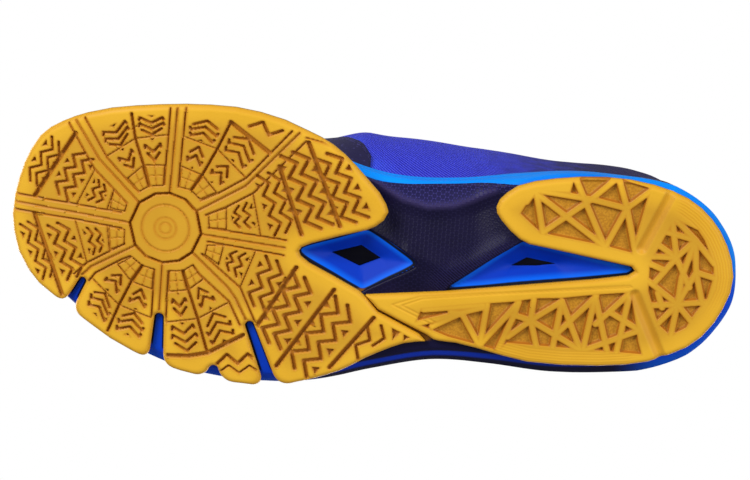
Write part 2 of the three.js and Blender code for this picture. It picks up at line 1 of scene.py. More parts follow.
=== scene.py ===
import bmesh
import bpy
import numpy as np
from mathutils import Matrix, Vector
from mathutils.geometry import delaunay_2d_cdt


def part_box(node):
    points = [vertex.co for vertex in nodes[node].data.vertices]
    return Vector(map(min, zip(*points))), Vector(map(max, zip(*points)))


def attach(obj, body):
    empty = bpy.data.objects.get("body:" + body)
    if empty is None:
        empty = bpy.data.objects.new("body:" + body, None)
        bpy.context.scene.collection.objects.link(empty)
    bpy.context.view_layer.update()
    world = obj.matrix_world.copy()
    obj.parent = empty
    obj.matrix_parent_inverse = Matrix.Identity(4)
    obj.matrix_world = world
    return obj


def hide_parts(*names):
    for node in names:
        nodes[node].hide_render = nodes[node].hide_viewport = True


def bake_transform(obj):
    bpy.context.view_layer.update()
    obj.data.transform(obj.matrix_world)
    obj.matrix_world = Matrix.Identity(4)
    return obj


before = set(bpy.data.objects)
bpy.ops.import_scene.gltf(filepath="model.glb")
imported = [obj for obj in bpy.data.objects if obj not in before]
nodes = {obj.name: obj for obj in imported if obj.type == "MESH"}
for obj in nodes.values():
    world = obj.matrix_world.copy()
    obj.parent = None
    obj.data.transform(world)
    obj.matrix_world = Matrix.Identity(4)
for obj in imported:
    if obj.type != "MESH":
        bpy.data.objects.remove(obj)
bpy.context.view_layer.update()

# %% [markdown]
# # A court shoe
# A shoe for indoor racket sports is a stack: a gum rubber tread, a foam midsole, a stiff plate under the
# arch and an upper sewn from several layers. The frame gives each piece's place; this script gives the
# surfaces. Every surface here is a function of two numbers, worked out with numpy as whole arrays.
# Sizes are written in millimetres in the shoe maker's own frame and turned to metres in one place.

MM = 0.001
TREAD_TOE_MM = 149.0    # front of the tread in the maker's frame
TREAD_INNER_MM = 52.0   # its widest point on the inner side
FINE = 1.0

low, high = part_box("outsole_forefoot")
ORIGIN = np.array([high[0] / MM - TREAD_TOE_MM, high[1] / MM - TREAD_INNER_MM, 0.0])
print("maker's frame sits at", ORIGIN.round(3), "mm")


def metres(points):
    """Millimetres in the maker's frame to metres in the part's frame: shift, then scale."""
    return (np.asarray(points, float) + ORIGIN) * MM


def new_mesh(name, points, faces, body="shoe", attributes=None, uv=None):
    """Points in millimetres and a list or array of faces, made into one object that rides on a body."""
    mesh = bpy.data.meshes.new(name)
    mesh.from_pydata(metres(points).tolist(), [], [list(map(int, f)) for f in faces])
    mesh.validate()
    for key, values in (attributes or {}).items():
        layer = mesh.attributes.new(key, "FLOAT", "POINT")
        layer.data.foreach_set("value", np.asarray(values, np.float32))
    if uv is not None:
        loops = np.zeros(len(mesh.loops), int)
        mesh.loops.foreach_get("vertex_index", loops)
        layer = mesh.uv_layers.new(name="UVMap")
        layer.data.foreach_set("uv", np.asarray(uv, np.float32)[loops].ravel())
    mesh.shade_smooth()
    obj = bpy.data.objects.new(name, mesh)
    bpy.context.scene.collection.objects.link(obj)
    if body:
        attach(obj, body)
    return obj


def smoothstep(a, b, x):
    """0 before a, 1 after b, and 3t^2 - 2t^3 between."""
    t = np.clip((np.asarray(x, float) - a) / (b - a), 0, 1)
    return t * t * (3 - 2 * t)


def closed_curve(points, per_span=8):
    """A closed Catmull-Rom curve: each span is a cubic through its two points, sloped by their neighbours."""
    p = np.asarray(points, float)
    a, b, c, d = np.roll(p, 1, 0), p, np.roll(p, -1, 0), np.roll(p, -2, 0)
    t = (np.arange(per_span) / per_span)[None, :, None]
    a, b, c, d = (q[:, None, :] for q in (a, b, c, d))
    out = 0.5 * (2 * b + (c - a) * t + (2 * a - 5 * b + 4 * c - d) * t**2 + (3 * b - a - 3 * c + d) * t**3)
    return out.reshape(-1, p.shape[1])


# %% [markdown]
# ## Distances
# A moulded tread is easiest to describe by distances: how far a point is from a groove's middle line, or
# inside an outline. A groove is then every point closer to its line than half its width. These functions
# work on every point of the grid at once.

# %% Distances
def along_segment(x, y, a, b):
    """The share of the way from a to b, clamped to the ends, and the distance to the point there."""
    dx, dy = b[0] - a[0], b[1] - a[1]
    t = np.clip(((x - a[0]) * dx + (y - a[1]) * dy) / (dx * dx + dy * dy + 1e-12), 0, 1)
    return t, np.hypot(x - a[0] - t * dx, y - a[1] - t * dy)


def path_distance(x, y, path):
    """Distance to a line through several points: the nearest of its segments."""
    return np.min([along_segment(x, y, a, b)[1] for a, b in zip(path[:-1], path[1:])], 0)


def outline_distance(x, y, outline):
    """Signed distance to a closed outline: the nearest edge, negative where a crossing count says inside."""
    best = np.full(x.shape, 1e9)
    inside = np.zeros(x.shape, bool)
    for a, b in zip(outline, np.roll(outline, -1, 0)):
        best = np.minimum(best, along_segment(x, y, a, b)[1])
        if a[1] != b[1]:
            crosses = (a[1] > y) != (b[1] > y)
            inside ^= crosses & (x < (b[0] - a[0]) * (y - a[1]) / (b[1] - a[1]) + a[0])
    return np.where(inside, -best, best)


def capsule_distance(x, y, a, b, ra, rb):
    """Signed distance to a slot whose half width goes from ra at a to rb at b."""
    t, away = along_segment(x, y, a, b)
    return away - (ra + (rb - ra) * t)


def box_round(outline, margin):
    """The outline's box, widened by a margin: ((x0, x1), (y0, y1))."""
    return tuple((outline[:, k].min() - margin, outline[:, k].max() + margin) for k in (0, 1))


# %% [markdown]
# ## The sole's outlines and heights
# The tread stands flat from the heel to the ball of the foot, and then lifts towards the toe so that the
# foot can roll forward. The midsole's underside climbs under the inner arch.

# %% Outlines
RIM_HEEL = 30.0       # midsole rim above the floor, at the heel
FOOTBED_HEEL = 22.0   # surface under the foot, at the heel
RIM = closed_curve([
    [143, -3], [138, 16], [125, 31], [106, 39.5], [85, 43.7], [62, 44.5], [42, 40.5], [25, 34], [8, 27],
    [-10, 24], [-33, 25.2], [-56, 29], [-78, 31.5], [-98, 31.2], [-116, 28], [-130, 21], [-138.5, 10],
    [-141, -1], [-138, -13.5], [-129.5, -24.5], [-116, -31.5], [-97, -35.5], [-75, -38], [-50, -37.5],
    [-25, -38.5], [0, -45], [25, -53], [48, -55.5], [74, -52.5], [98, -44], [117, -34], [131, -25],
    [140, -15]], 10)
FOREFOOT = np.array([
    [149, -3.4], [148.4, 5], [147, 12], [145, 19], [142.5, 25], [139, 31], [135, 35], [130, 38.3], [125, 41],
    [120, 43.2], [110, 46.5], [100, 48.6], [90, 50.2], [80, 51.4], [70, 52], [60, 52], [50, 50.8], [40, 48.5],
    [35, 46.6], [30, 44.7], [25, 42.7], [20, 40.1], [15, 36.5], [10, 32], [5, 27], [0, 22], [-3, 17.5],
    [-4.2, 14.5], [-2.6, 10.8], [0.5, 8], [4, 6.2], [15, 2.6], [26, -1.4], [29.6, -3.2], [30.6, -5],
    [29.6, -7], [26, -9.6], [15, -14.6], [5, -19.4], [1.6, -22], [-3.6, -27.6], [-12, -31.3], [-21, -35.4],
    [-24, -38.3], [-20, -38.9], [-15, -40], [-10, -42.2], [-5, -44.8], [0, -47.6], [5, -51], [10, -54],
    [15, -56.2], [20, -58.2], [25, -59.8], [30, -61.4], [38, -62.8], [45, -63.3], [55, -62.9], [65, -61.7],
    [75, -60], [85, -57.6], [95, -54], [105, -49.6], [115, -43.8], [127, -36.4], [136.2, -30.6], [141, -25.6],
    [145.6, -18.4], [148, -10.5]])
REARFOOT = np.array([
    [2.5, -20.8], [-8, -19.4], [-20, -17.8], [-31, -16.3], [-50, -13], [-70, -9.5], [-90, -6], [-103, -3.2],
    [-105.6, -1.2], [-104, 0.7], [-90, 2.6], [-70, 5.3], [-62, 6.3], [-58, 8], [-54, 11], [-50, 15],
    [-47.8, 18], [-47.3, 20.5], [-48.3, 23.5], [-51, 26.6], [-55, 29.8], [-62, 32.4], [-70, 34.2],
    [-80, 35.8],
    [-90, 36.6], [-100, 36.4], [-109.6, 35.1], [-117.2, 33.2], [-123.8, 30.7], [-129.5, 27.2],
    [-134.2, 23], [-138.2, 18.2],
    [-141.6, 12.4], [-144.2, 6.2], [-145.6, -0.4], [-145.2, -7], [-143, -13.8], [-140, -20.2],
    [-135.5, -26.4],
    [-130, -31.2], [-123, -35], [-115, -38.6], [-106, -40.8], [-95, -42.3], [-80, -43.3], [-66, -43.2],
    [-56, -41.6], [-45, -39.3], [-36, -37.8], [-29.4, -37.6], [-27, -37.2], [-24, -35.4], [-12, -30.3],
    [-3.4, -26.5]])


def lift(x):
    """Height of the tread's face: a parabola up to the toe, and a short bevel at the back of the heel."""
    return 0.002 * np.maximum(x - 68, 0) ** 2 + 0.004 * np.maximum(-125 - x, 0) ** 2


def arch(x, y):
    """Rise of the underside under the inner arch: a product of three soft steps."""
    ahead = 1 - smoothstep(4 - (30 - y) * 0.5, 34 - (30 - y), x)
    return 10 * ahead * smoothstep(-62, -38, x) * smoothstep(-14, 28, y)


def rim_height(x):
    """Top edge of the midsole's side wall, highest at the heel."""
    return RIM_HEEL - 2 * smoothstep(-100, -20, x) - 5 * smoothstep(-10, 50, x) + lift(x)


def footbed(x):
    """Height of the midsole under the foot."""
    return FOOTBED_HEEL - 7 * smoothstep(-60, 45, x) + lift(x)


# %% [markdown]
# ## One builder for every slab
# The tread pads, the arch plate and the midsole are all slabs with a plan outline, a shaped underside and
# a wall. A square lattice is laid over the outline, its rim vertices are pulled exactly on to the outline,
# and vertices close to a groove's edge are pulled on to that edge so that it stays crisp. The wall goes up
# in rows, and the hidden top is closed by a coarse triangulation.

# %% Slab builder
def boundary_loops(edges):
    """Follows directed boundary edges (start, end) round into closed loops."""
    after = dict(map(tuple, edges.tolist()))
    loops = []
    while after:
        start, here = next(iter(after.items()))
        loop = [start]
        del after[start]
        while here != start:
            loop.append(here)
            here = after.pop(here)
        loops.append(np.array(loop))
    return loops


FAR = 9.0        # a distance that no pattern reaches, in millimetres
TOP_CELL = 6.0   # spacing of the coarse lattice in a slab's hidden top


def hidden_top(distance, bounds, top_loops, clearance, cap, count):
    """Closes a slab: triangles between the wall's last rows and a coarse lattice that keeps clear of them.

    count is the number of points made so far. The new points and the triangles are returned.
    """
    flat = np.concatenate([row for _, row in top_loops])
    top_ids = np.concatenate([ids for ids, _ in top_loops])
    sides, start = [], 0
    for ids, _ in top_loops:
        k = np.arange(len(ids)) + start
        sides += np.stack([k, np.roll(k, -1)], 1).tolist()
        start += len(ids)
    gx, gy = np.meshgrid(*(np.arange(*ends, TOP_CELL) for ends in bounds), indexing="ij")
    clear = distance(gx, gy) < -clearance
    flat = np.concatenate([flat[:, :2], np.stack([gx[clear], gy[clear]], 1)])
    out, _, tris, source, _, _ = delaunay_2d_cdt([Vector(p) for p in flat.tolist()], sides, [], 1, 1e-5)
    middle = np.array([[sum(out[i][k] for i in t) / 3 for k in (0, 1)] for t in tris])
    tris = [t for t, d in zip(tris, distance(middle[:, 0], middle[:, 1])) if d < 0.25]
    place, extra = [], []
    for spot, from_ids in zip(out, source):
        first = min(from_ids) if from_ids else -1
        if 0 <= first < len(top_ids):
            place.append(top_ids[first])
        else:
            place.append(count + len(extra))
            extra.append([spot[0], spot[1], 0.0])
    extra = np.array(extra).reshape(-1, 3)
    extra[:, 2] = cap(extra[:, 0], extra[:, 1])
    return extra, [[place[i] for i in t] for t in tris]


def lattice_slab(distance, bounds, cell, relief, walls, cap, groove=None):
    """Points, faces and edge distance of a slab.

    distance(x, y) is negative inside; relief(x, y, inside) is the underside's height; walls is a list of
    functions (x, y, nx, ny, z) giving the next row of wall points; cap(x, y) is the height of the top.
    """
    (x0, x1), (y0, y1) = bounds
    xs = np.arange(x0, x1 + cell, cell)
    ys = np.arange(y0, y1 + cell, cell)
    x, y = np.meshgrid(xs, ys, indexing="ij")
    s = distance(x, y)
    sx, sy = np.gradient(s, cell)
    size = np.maximum(np.hypot(sx, sy), 0.3)
    sx, sy = sx / size, sy / size
    keep = (s[:-1, :-1] + s[1:, :-1] + s[:-1, 1:] + s[1:, 1:]) < 0
    ids = np.arange(x.size).reshape(x.shape)
    quads = np.stack([ids[:-1, :-1], ids[:-1, 1:], ids[1:, 1:], ids[1:, :-1]], -1)[keep]
    # An edge whose reverse is missing lies on the boundary.
    pairs = np.concatenate([quads[:, [0, 1]], quads[:, [1, 2]], quads[:, [2, 3]], quads[:, [3, 0]]])
    forward = pairs[:, 0].astype(np.int64) * x.size + pairs[:, 1]
    back = pairs[:, 1].astype(np.int64) * x.size + pairs[:, 0]
    edges = pairs[~np.isin(forward, back)]
    on_edge = np.zeros(x.size, bool)
    on_edge[edges.ravel()] = True
    px, py = x.ravel().copy(), y.ravel().copy()
    fs, fx, fy = s.ravel(), sx.ravel(), sy.ravel()
    # Rim vertices slide down the distance's slope on to the outline, twice because it isn't quite straight.
    for _ in range(2):
        off = distance(px[on_edge], py[on_edge])
        px[on_edge] -= off * fx[on_edge]
        py[on_edge] -= off * fy[on_edge]
    if groove is not None:
        g = groove(x, y)
        gx, gy = np.gradient(g, cell)
        size = np.hypot(gx, gy)
        near = ((np.abs(g) < 0.55 * cell) & (size > 0.5)).ravel() & ~on_edge
        px[near] -= (g * gx / np.maximum(size, 0.5) ** 2).ravel()[near]
        py[near] -= (g * gy / np.maximum(size, 0.5) ** 2).ravel()[near]
    used = np.unique(quads)
    renumber = np.full(x.size, -1)
    renumber[used] = np.arange(len(used))
    quads = renumber[quads]
    px, py, nx, ny = px[used], py[used], fx[used], fy[used]
    inside = -np.minimum(np.where(on_edge[used], 0, fs[used]), 0)
    pz = relief(px, py, inside)
    points = [np.stack([px, py, pz], 1)]
    faces = quads.tolist()
    edge_mm = [inside]
    count = len(px)
    top_loops = []
    for loop in boundary_loops(renumber[edges]):
        lower = loop
        bx, by, bz = px[loop], py[loop], pz[loop]
        for wall in walls:
            row = np.stack(wall(bx, by, nx[loop], ny[loop], bz), 1)
            upper = count + np.arange(len(loop))
            a, b = lower, np.roll(lower, -1)
            c, d = np.roll(upper, -1), upper
            faces += np.stack([b, a, d, c], 1).tolist()
            points.append(row)
            edge_mm.append(np.zeros(len(loop)))
            count += len(loop)
            lower = upper
        top_loops.append((lower, row))
    # A leaning wall ends well inside the outline, and the coarse lattice keeps clear of it.
    extra, tris = hidden_top(distance, bounds, top_loops, 11 if len(walls) > 3 else 2, cap, count)
    if len(extra):
        points.append(extra)
        edge_mm.append(np.full(len(extra), FAR))
    return np.concatenate(points), faces + tris, np.concatenate(edge_mm)



def straight_wall(top, grow=0.0):
    """A wall row at height top(x), moved outwards by grow."""
    return lambda x, y, nx, ny, z: (x + nx * grow, y + ny * grow, np.maximum(top(x), z + 0.05))


# %% [markdown]
# ## Drawing the tread
# The forefoot turns on a twelve-sided disc under the ball. Eight ribbed spokes leave it, and the sectors
# between them hold the biting edges: small blocks close to the disc, then zigzag grooves that grow outwards.
# Every groove is a stroke with a width and a depth. A pattern is drawn once on a unit square and stretched
# over each cell, so a cell is only its four corners.

# %% Strokes
MARKS = []      # every groove and pit: its points, the reach of its box, its depth and its signed distance
HAIR_W, FINE_W, SMALL_W, ZIG_W, WIDE_W = 0.5, 0.8, 1.3, 1.6, 2.05
FINE_D, MAIN_D, ZIG_D, WIDE_D = 0.8, 1.3, 1.7, 1.9
THIN = (0.9, 1.1)   # width and depth of the thin grooves that part the bands of a sector


def stroke(points, width, depth):
    """A groove along a line: every place closer to the line than half the width."""
    points = np.asarray(points, float)
    MARKS.append((points, width + 1.5, depth, lambda x, y: path_distance(x, y, points) - width / 2))


def pit(corners):
    """A hollow with a closed outline."""
    corners = np.asarray(corners, float)
    MARKS.append((corners, 2.0, ZIG_D, lambda x, y: outline_distance(x, y, corners)))


def on_cell(corners, uv):
    """Bilinear map: u runs along the first side, v from the first side to the opposite one."""
    a, b, c, d = (np.asarray(p, float) for p in corners)
    uv = np.asarray(uv, float)
    u, v = uv[:, :1], uv[:, 1:]
    return a * (1 - u) * (1 - v) + b * u * (1 - v) + c * u * v + d * (1 - u) * v


def sideways(a, b):
    """The unit vector a quarter turn to the left of a-b."""
    return np.array([a[1] - b[1], b[0] - a[0]]) / np.hypot(*(b - a))


def zigzag(a, b, legs, swing, width=ZIG_W):
    """Legs that step evenly from a to b while swinging to either side of the line."""
    a, b = np.asarray(a, float), np.asarray(b, float)
    k = np.arange(legs + 1)
    swings = swing * (-1.0) ** k
    stroke(a + (b - a) * (k / legs)[:, None] + sideways(a, b) * swings[:, None], width, ZIG_D)


def blocks(corners):
    """Four small square blocks: a frame and a cross of fine grooves."""
    stroke(on_cell(corners, [[0, 0], [1, 0], [1, 1], [0, 1], [0, 0]]), FINE_W, MAIN_D)
    for line in ([[0.5, 0], [0.5, 1]], [[0, 0.5], [1, 0.5]]):
        stroke(on_cell(corners, line), HAIR_W, FINE_D)


def small_zigzags(corners):
    """Two short zigzags side by side, with triangular pits in the corners they leave free."""
    lines = [[[0.40, 0.10], [0.20, 0.30], [0.42, 0.52], [0.20, 0.72], [0.38, 0.92]],
             [[0.72, 0.10], [0.54, 0.30], [0.78, 0.52], [0.54, 0.72], [0.72, 0.92]]]
    triangles = [[[0.10, 0.40], [0.10, 0.64], [0.24, 0.52]], [[0.92, 0.14], [0.92, 0.34], [0.76, 0.30]],
                 [[0.92, 0.70], [0.92, 0.90], [0.76, 0.73]]]
    for line in lines:
        stroke(on_cell(corners, line), SMALL_W, ZIG_D)
    for triangle in triangles:
        pit(on_cell(corners, triangle))


def nested(corners, inwards, rows=(0.08, 0.34, 0.60), dip=0.24, wide=0.40):
    """Nested V strokes with their tips towards the disc or away from it, with short hooks at the ends."""
    flip = (lambda line: line) if inwards else (lambda line: line * [1, -1] + [0, 1])
    for k, v in enumerate(rows):
        w = wide - 0.03 * k
        hook = v + dip * 0.62
        line = np.array([[0.47 - w, hook], [0.5 - w, v + dip], [0.5, v], [0.5 + w, v + dip],
                         [0.53 + w, hook]])
        if k == 0:
            # The V nearest the tip has no hooks and is a little narrower.
            line = line[1:4] * [0.8, 1] + [0.1, 0]
        stroke(on_cell(corners, flip(line)), 1.42, ZIG_D)
    pit(on_cell(corners, flip(np.array([[0.40, 0.94], [0.60, 0.94], [0.5, 0.84]]))))


def squeeze(near, far, edge=0.06):
    """The cell between two arcs, drawn in at both sides by a share of its width."""
    at = lambda arc, share: arc[0] + (arc[1] - arc[0]) * share
    return [at(near, edge), at(near, 1 - edge), at(far, 1 - edge), at(far, edge)]


def circle(centre, radius, turns):
    """Points round a centre at the given turns."""
    return centre + radius * np.stack([np.cos(turns), np.sin(turns)], 1)


# %% Disc, spokes and sectors
DISC = np.array([85.0, 0.0])
DISC_TURNS = np.radians([2, 39, 70, 93, 120, 147, 184, 219, 244, 271, 300, 325])
stroke(circle(DISC, 14.6, np.append(DISC_TURNS, DISC_TURNS[0])), 1.35, 2.3)
for radius, ring_width, ring_depth in ((9.7, 0.8, 0.45), (4.4, 0.6, 0.2), (2.3, 0.6, 0.22)):
    stroke(circle(DISC, radius, np.linspace(0, 2 * np.pi, 49)), ring_width, ring_depth)

SPOKES = [
    # middle groove, then its two border grooves
    ([[99.6, 0.5], [120, 1.7], [150, 2.6]], [[103.5, 4.3], [120, 5.2], [150, 6.0]], [[103, -2.2],
    [122, -1], [150, -0.7]]),
    ([[96.4, 9.4], [105, 17.3], [113.5, 25], [125.5, 42]], [[101.5, 8.6], [107, 13.6], [115.5, 21],
    [127, 38.5]],
     [[96.6, 13.6], [102, 18.2], [110.3, 26], [120.5, 41.5]]),
    ([[84.2, 14.8], [83.2, 51.5]], [[86.6, 18], [86, 50.6]], [[81, 17.6], [79.8, 51]]),
    ([[72.6, 8.4], [54, 20.3], [50, 25], [34, 44]], [[71.5, 12.8], [65, 16.2], [54, 23.6], [37, 44.5]],
     [[69, 7], [61, 11], [50.5, 17.8], [31, 41]]),
    ([[70.6, -1.2], [36.5, -3.8]], [[67.5, 1.7], [36, -0.6]], [[67.5, -4], [36.5, -7]]),
    ([[73.6, -9], [58, -22.6], [54.5, -27], [49.8, -35.5]], [[69.5, -9.4], [65, -12.8], [53, -22.2],
    [45.6, -37]],
     [[72.4, -15], [70, -18], [57.2, -28.4], [52, -38]]),
    ([[85.3, -14.8], [85.4, -34.5]], [[88.3, -18], [88.3, -37.5]], [[82.7, -18], [82.4, -40]]),
    ([[96.6, -8.6], [114.5, -20], [118, -23.8]], [[101.3, -8.6], [116.3, -18.6], [121.4, -24]],
     [[98.5, -13.4], [102, -15.2], [112.6, -22.4], [115, -26]]),
]
for middle, near_side, far_side in SPOKES:
    stroke(middle, 1.3, 0.9)
    stroke(near_side, 1.15, 1.3)
    stroke(far_side, 1.15, 1.3)

# Split sectors: four arcs of three points each, from the disc outwards. The middle point is on the
# groove that divides the sector.
SPLIT = [
    [[(86.6, 17.6), (92.8, 16.6), (97, 13.6)], [(86.4, 26), (95.5, 25), (102, 18.4)],
     [(86.2, 38.6), (99.5, 35.6), (110.5, 27)], [(86, 47), (101.6, 45.5), (116.5, 36)]],
    [[(81, 17.6), (75.6, 16.8), (71.5, 13)], [(80.6, 26.3), (71.6, 23.4), (65, 16.2)],
     [(80.2, 38.6), (66.3, 34.6), (54.5, 24.2)], [(80, 47), (61.6, 46), (45.4, 35)]],
    [[(82.7, -17.8), (76.8, -17.2), (72.4, -14)], [(82.6, -26.6), (74, -25), (68, -19.6)],
     [(82.4, -39.6), (69.4, -36.8), (58, -29.2)], [(80.5, -53), (64.5, -51), (50.6, -42.2)]],
    [[(88.3, -17.8), (93.4, -16.8), (98.2, -13.4)], [(88.3, -26.4), (97.5, -24), (104, -17)],
     [(88.4, -38.4), (102, -34.6), (113.5, -25)], [(90, -49.5), (106, -46), (117.5, -36)]],
]
# For each split sector, whether the tips of its two halves point to the disc.
INWARDS = [(True, True), (False, False), (False, True), (True, True)]
for arcs, tips in zip(SPLIT, INWARDS):
    arcs = np.array(arcs, float)
    stroke(arcs[:, 1], 1.45, WIDE_D)
    for half in (0, 1):
        ring = arcs[:, half:half + 2]
        blocks(squeeze(ring[0], ring[1], 0.08))
        nested(squeeze(ring[1], ring[2], 0.12), tips[half], (0.16, 0.46), 0.26, 0.36)
        nested(squeeze(ring[2], ring[3]), tips[half])
    for k in (1, 2):
        stroke(arcs[k], *THIN)
stroke([[61.6, 46], [45.4, 35]], WIDE_W, WIDE_D)
stroke([[80.5, -53.6], [72, -53], [64.5, -51], [50.6, -42.2]], WIDE_W, WIDE_D)
zigzag((60.5, -53.4), (43.6, -51.5), 4, 2.0)
zigzag((59.5, -57.4), (42.6, -56), 4, 1.6, 1.0)

# Single sectors: the corners of the blocks and of the zigzag cell, and the thin grooves that close the cell.
SINGLES = [
    ([(68, 7.4), (61, 10.6), (60.4, 1.9), (67.3, 1.9)], [(60, 10.8), (50.6, 16.2), (47.2, 2), (59.4, 2.2)],
     [[(50.6, 17.4), (46.4, 0.4)]]),
    ([(67.6, -5.6), (61, -4.9), (62.4, -13.2), (68.2, -9.6)],
     [(59.8, -5.6), (48.6, -6.8), (52.6, -20.4), (61.8, -13.8)], [[(48, -6.3), (53, -21.6)]]),
    ([(108, -2.4), (101.6, -2.6), (101.4, -9), (107, -11.6)],
     [(109.4, -2.8), (120.6, -2.6), (115.6, -17), (108.4, -12.6)],
     [[(108.9, -1.8), (107.3, -12.8)], [(122, -1.8), (116.2, -18.8)]]),
    ([(108, 5.6), (102, 5), (101.2, 8.6), (107, 13)], [(109.4, 6), (120.8, 6.6), (115, 19), (108.4, 13.6)],
     [[(109.2, 5.2), (107, 13.6)], [(121.7, 6), (115.4, 20.4)]]),
]
for block_corners, cell_corners, closing in SINGLES:
    blocks(block_corners)
    small_zigzags(cell_corners)
    for line in closing:
        stroke(line, *THIN)

# Beyond them, long bands of paired zigzags run between wide grooves.
WIDES = [
    ((41, 29.6), (30, 2.4)), ((30, 40.5), (14.8, 7.2)), ((31, -11.6), (45.2, -37.8)), ((15, -19.6),
    (36, -54)),
    ((-2, -30), (14.2, -52.6)), ((139.5, -1.2), (125.6, -34.6)), ((139.6, 6.4), (124, 34.6)),
]
for a, b in WIDES:
    stroke([a, b], WIDE_W, WIDE_D)

BANDS = [
    # from, to, legs, swing, spacing of the pair, width
    ((45.6, 26.5), (36.8, 2.4), 6, 1.9, 4.6, 1.15), ((36, 36), (22.4, 5.5), 7, 2.6, 5.2, 1.5),
    ((22.6, 36.5), (8.2, 9.5), 7, 2.4, 5.4, 1.4), ((39.4, -9.4), (46.6, -29.5), 5, 2.1, 4.8, 1.2),
    ((27.5, -15.6), (39.6, -44.5), 7, 2.6, 5.4, 1.55), ((9.5, -25.4), (28, -54.6), 7, 2.6, 6.2, 1.5),
    ((129.8, -3.9), (120.4, -25.4), 6, 1.9, 4.4, 1.15), ((129.2, 8.2), (119.6, 26.6), 6, 1.8, 4.2, 1.15),
    ((142.2, -5.4), (131.5, -27.0), 6, 1.6, 3.5, 0.95), ((141.8, 12.0), (131.0, 30.0), 5, 1.6, 3.4, 0.95),
]
for a, b, legs, swing, spacing, width in BANDS:
    a, b = np.array(a), np.array(b)
    side = sideways(a, b)
    for shift in (-spacing / 2, spacing / 2):
        zigzag(a + side * shift, b + side * shift, legs, swing, width + 0.38)
    step = (b - a) / legs
    reach = spacing / 2 + swing + width
    for k in range(1, legs):
        # A pit fills the notch that each outer corner leaves beside the wide groove.
        middle = a + step * (k + 0.02)
        out = side * (reach if k % 2 else -reach)
        pit([middle + out * 1.06 - step * 0.42, middle + out * 1.06 + step * 0.42, middle + out * 0.62])
zigzag((53.5, 46.8), (41.5, 42.6), 3, 1.9, 1.6)
zigzag((-1.5, -34.5), (4.6, -47.4), 3, 2.0, 1.6)
zigzag((-6.8, -33.4), (-4.2, -42.2), 2, 1.6, 1.5)
pit([(-13.5, -35), (-9.6, -33.4), (-10.4, -38.6)])
pit([(-17.4, -37), (-14.6, -35.6), (-14.8, -38.6)])
stroke([[31, 42.4], [22, 40.6]], 1.0, 1.0)
print(len(MARKS), "grooves and pits on the forefoot")


def relief_field(x, y, draft=0.3):
    """Edge distance of the nearest groove, and the depth there: full depth once draft inside its edge."""
    edge, depth = np.full(x.shape, FAR), np.zeros(x.shape)
    for points, reach, deep, distance in MARKS:
        low, high = points.min(0) - reach, points.max(0) + reach
        near = (x > low[0]) & (x < high[0]) & (y > low[1]) & (y < high[1])
        if near.any():
            d = distance(x[near], y[near])
            edge[near] = np.minimum(edge[near], d)
            depth[near] = np.maximum(depth[near], deep * np.clip(-d / draft, 0, 1))
    return edge, depth


# %% Forefoot tread
NOTCHES = [  # inner end, outer end, half width at each
    ((117.9, -26.8), (124.6, -41), 1.55, 2.3), ((85.3, -38.4), (85.6, -64), 2.0, 3.4),
    ((61.6, -58.4), (61.8, -66), 2.0, 5.0), ((48.2, -38.2), (37, -64.5), 1.9, 2.7),
]
CORNER = 5.0   # reach of the rounding at a notch's mouth
TREAD = 3.5    # thickness of the gum
CELL = 0.38 * FINE


def forefoot_distance(x, y):
    """Inside the pad's outline and outside every notch."""
    d = outline_distance(x, y, FOREFOOT)
    for a, b, ra, rb in NOTCHES:
        cut = -capsule_distance(x, y, a, b, ra, rb)
        # A smooth maximum: it rounds the corner where a notch opens into the rim.
        d = np.maximum(d, cut) + np.maximum(CORNER - np.abs(d - cut), 0) ** 2 / (4 * CORNER)
    return d


def edge_round(inside, radius):
    """A quarter circle at the rim: the face rises by r - sqrt(r^2 - (r - d)^2) within r of the edge."""
    t = np.clip(radius - inside, 0, radius)
    return radius - np.sqrt(np.maximum(radius**2 - t**2, 0))


def forefoot_relief(x, y, inside):
    """Grooves, shallower close to the rim, and a rounded rim; at least 0.8 mm of gum stays above them."""
    _, depth = relief_field(x, y)
    fade = smoothstep(0.3, 1.6, inside)
    return lift(x) + np.minimum(depth * (0.35 + 0.65 * fade) + edge_round(inside, 2.4) * 0.8, TREAD - 0.8)


def tread_pad(name, outline, distance, relief, cut, lines=None):
    """A gum pad, with what its finish needs for its painted shade: how deep a point lies and how far it is
    into a cut.
    """
    points, faces, edge_mm = lattice_slab(
        distance, box_round(outline, 1), CELL, relief,
        [straight_wall(lambda x: lift(x) + TREAD * 0.6), straight_wall(lambda x: lift(x) + TREAD, -0.05)],
        lambda x, y: lift(x) + TREAD, groove=cut)
    x, y, z = points.T
    attributes = {"edge_mm": edge_mm, "groove_mm": np.clip(z - lift(x), 0, TREAD),
                  "cut_mm": np.clip(-cut(x, y), -2, 2)}
    if lines:
        attributes["lines"] = lines(x, y, edge_mm)
    print(name, len(points), "points,", len(faces), "faces")
    return new_mesh(name, points, faces, attributes=attributes)


tread_forefoot = tread_pad("tread_forefoot", FOREFOOT, forefoot_distance, forefoot_relief,
                           lambda x, y: relief_field(x, y)[0])
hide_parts("outsole_forefoot")

# %% [markdown]
# ## The rear tread
# Behind the arch the rubber is lightened: triangular pockets are moulded into it, and what is left between
# them is a web of ribs like a bridge truss. The pockets are the inside of a few regions, less a strip round
# every rib.

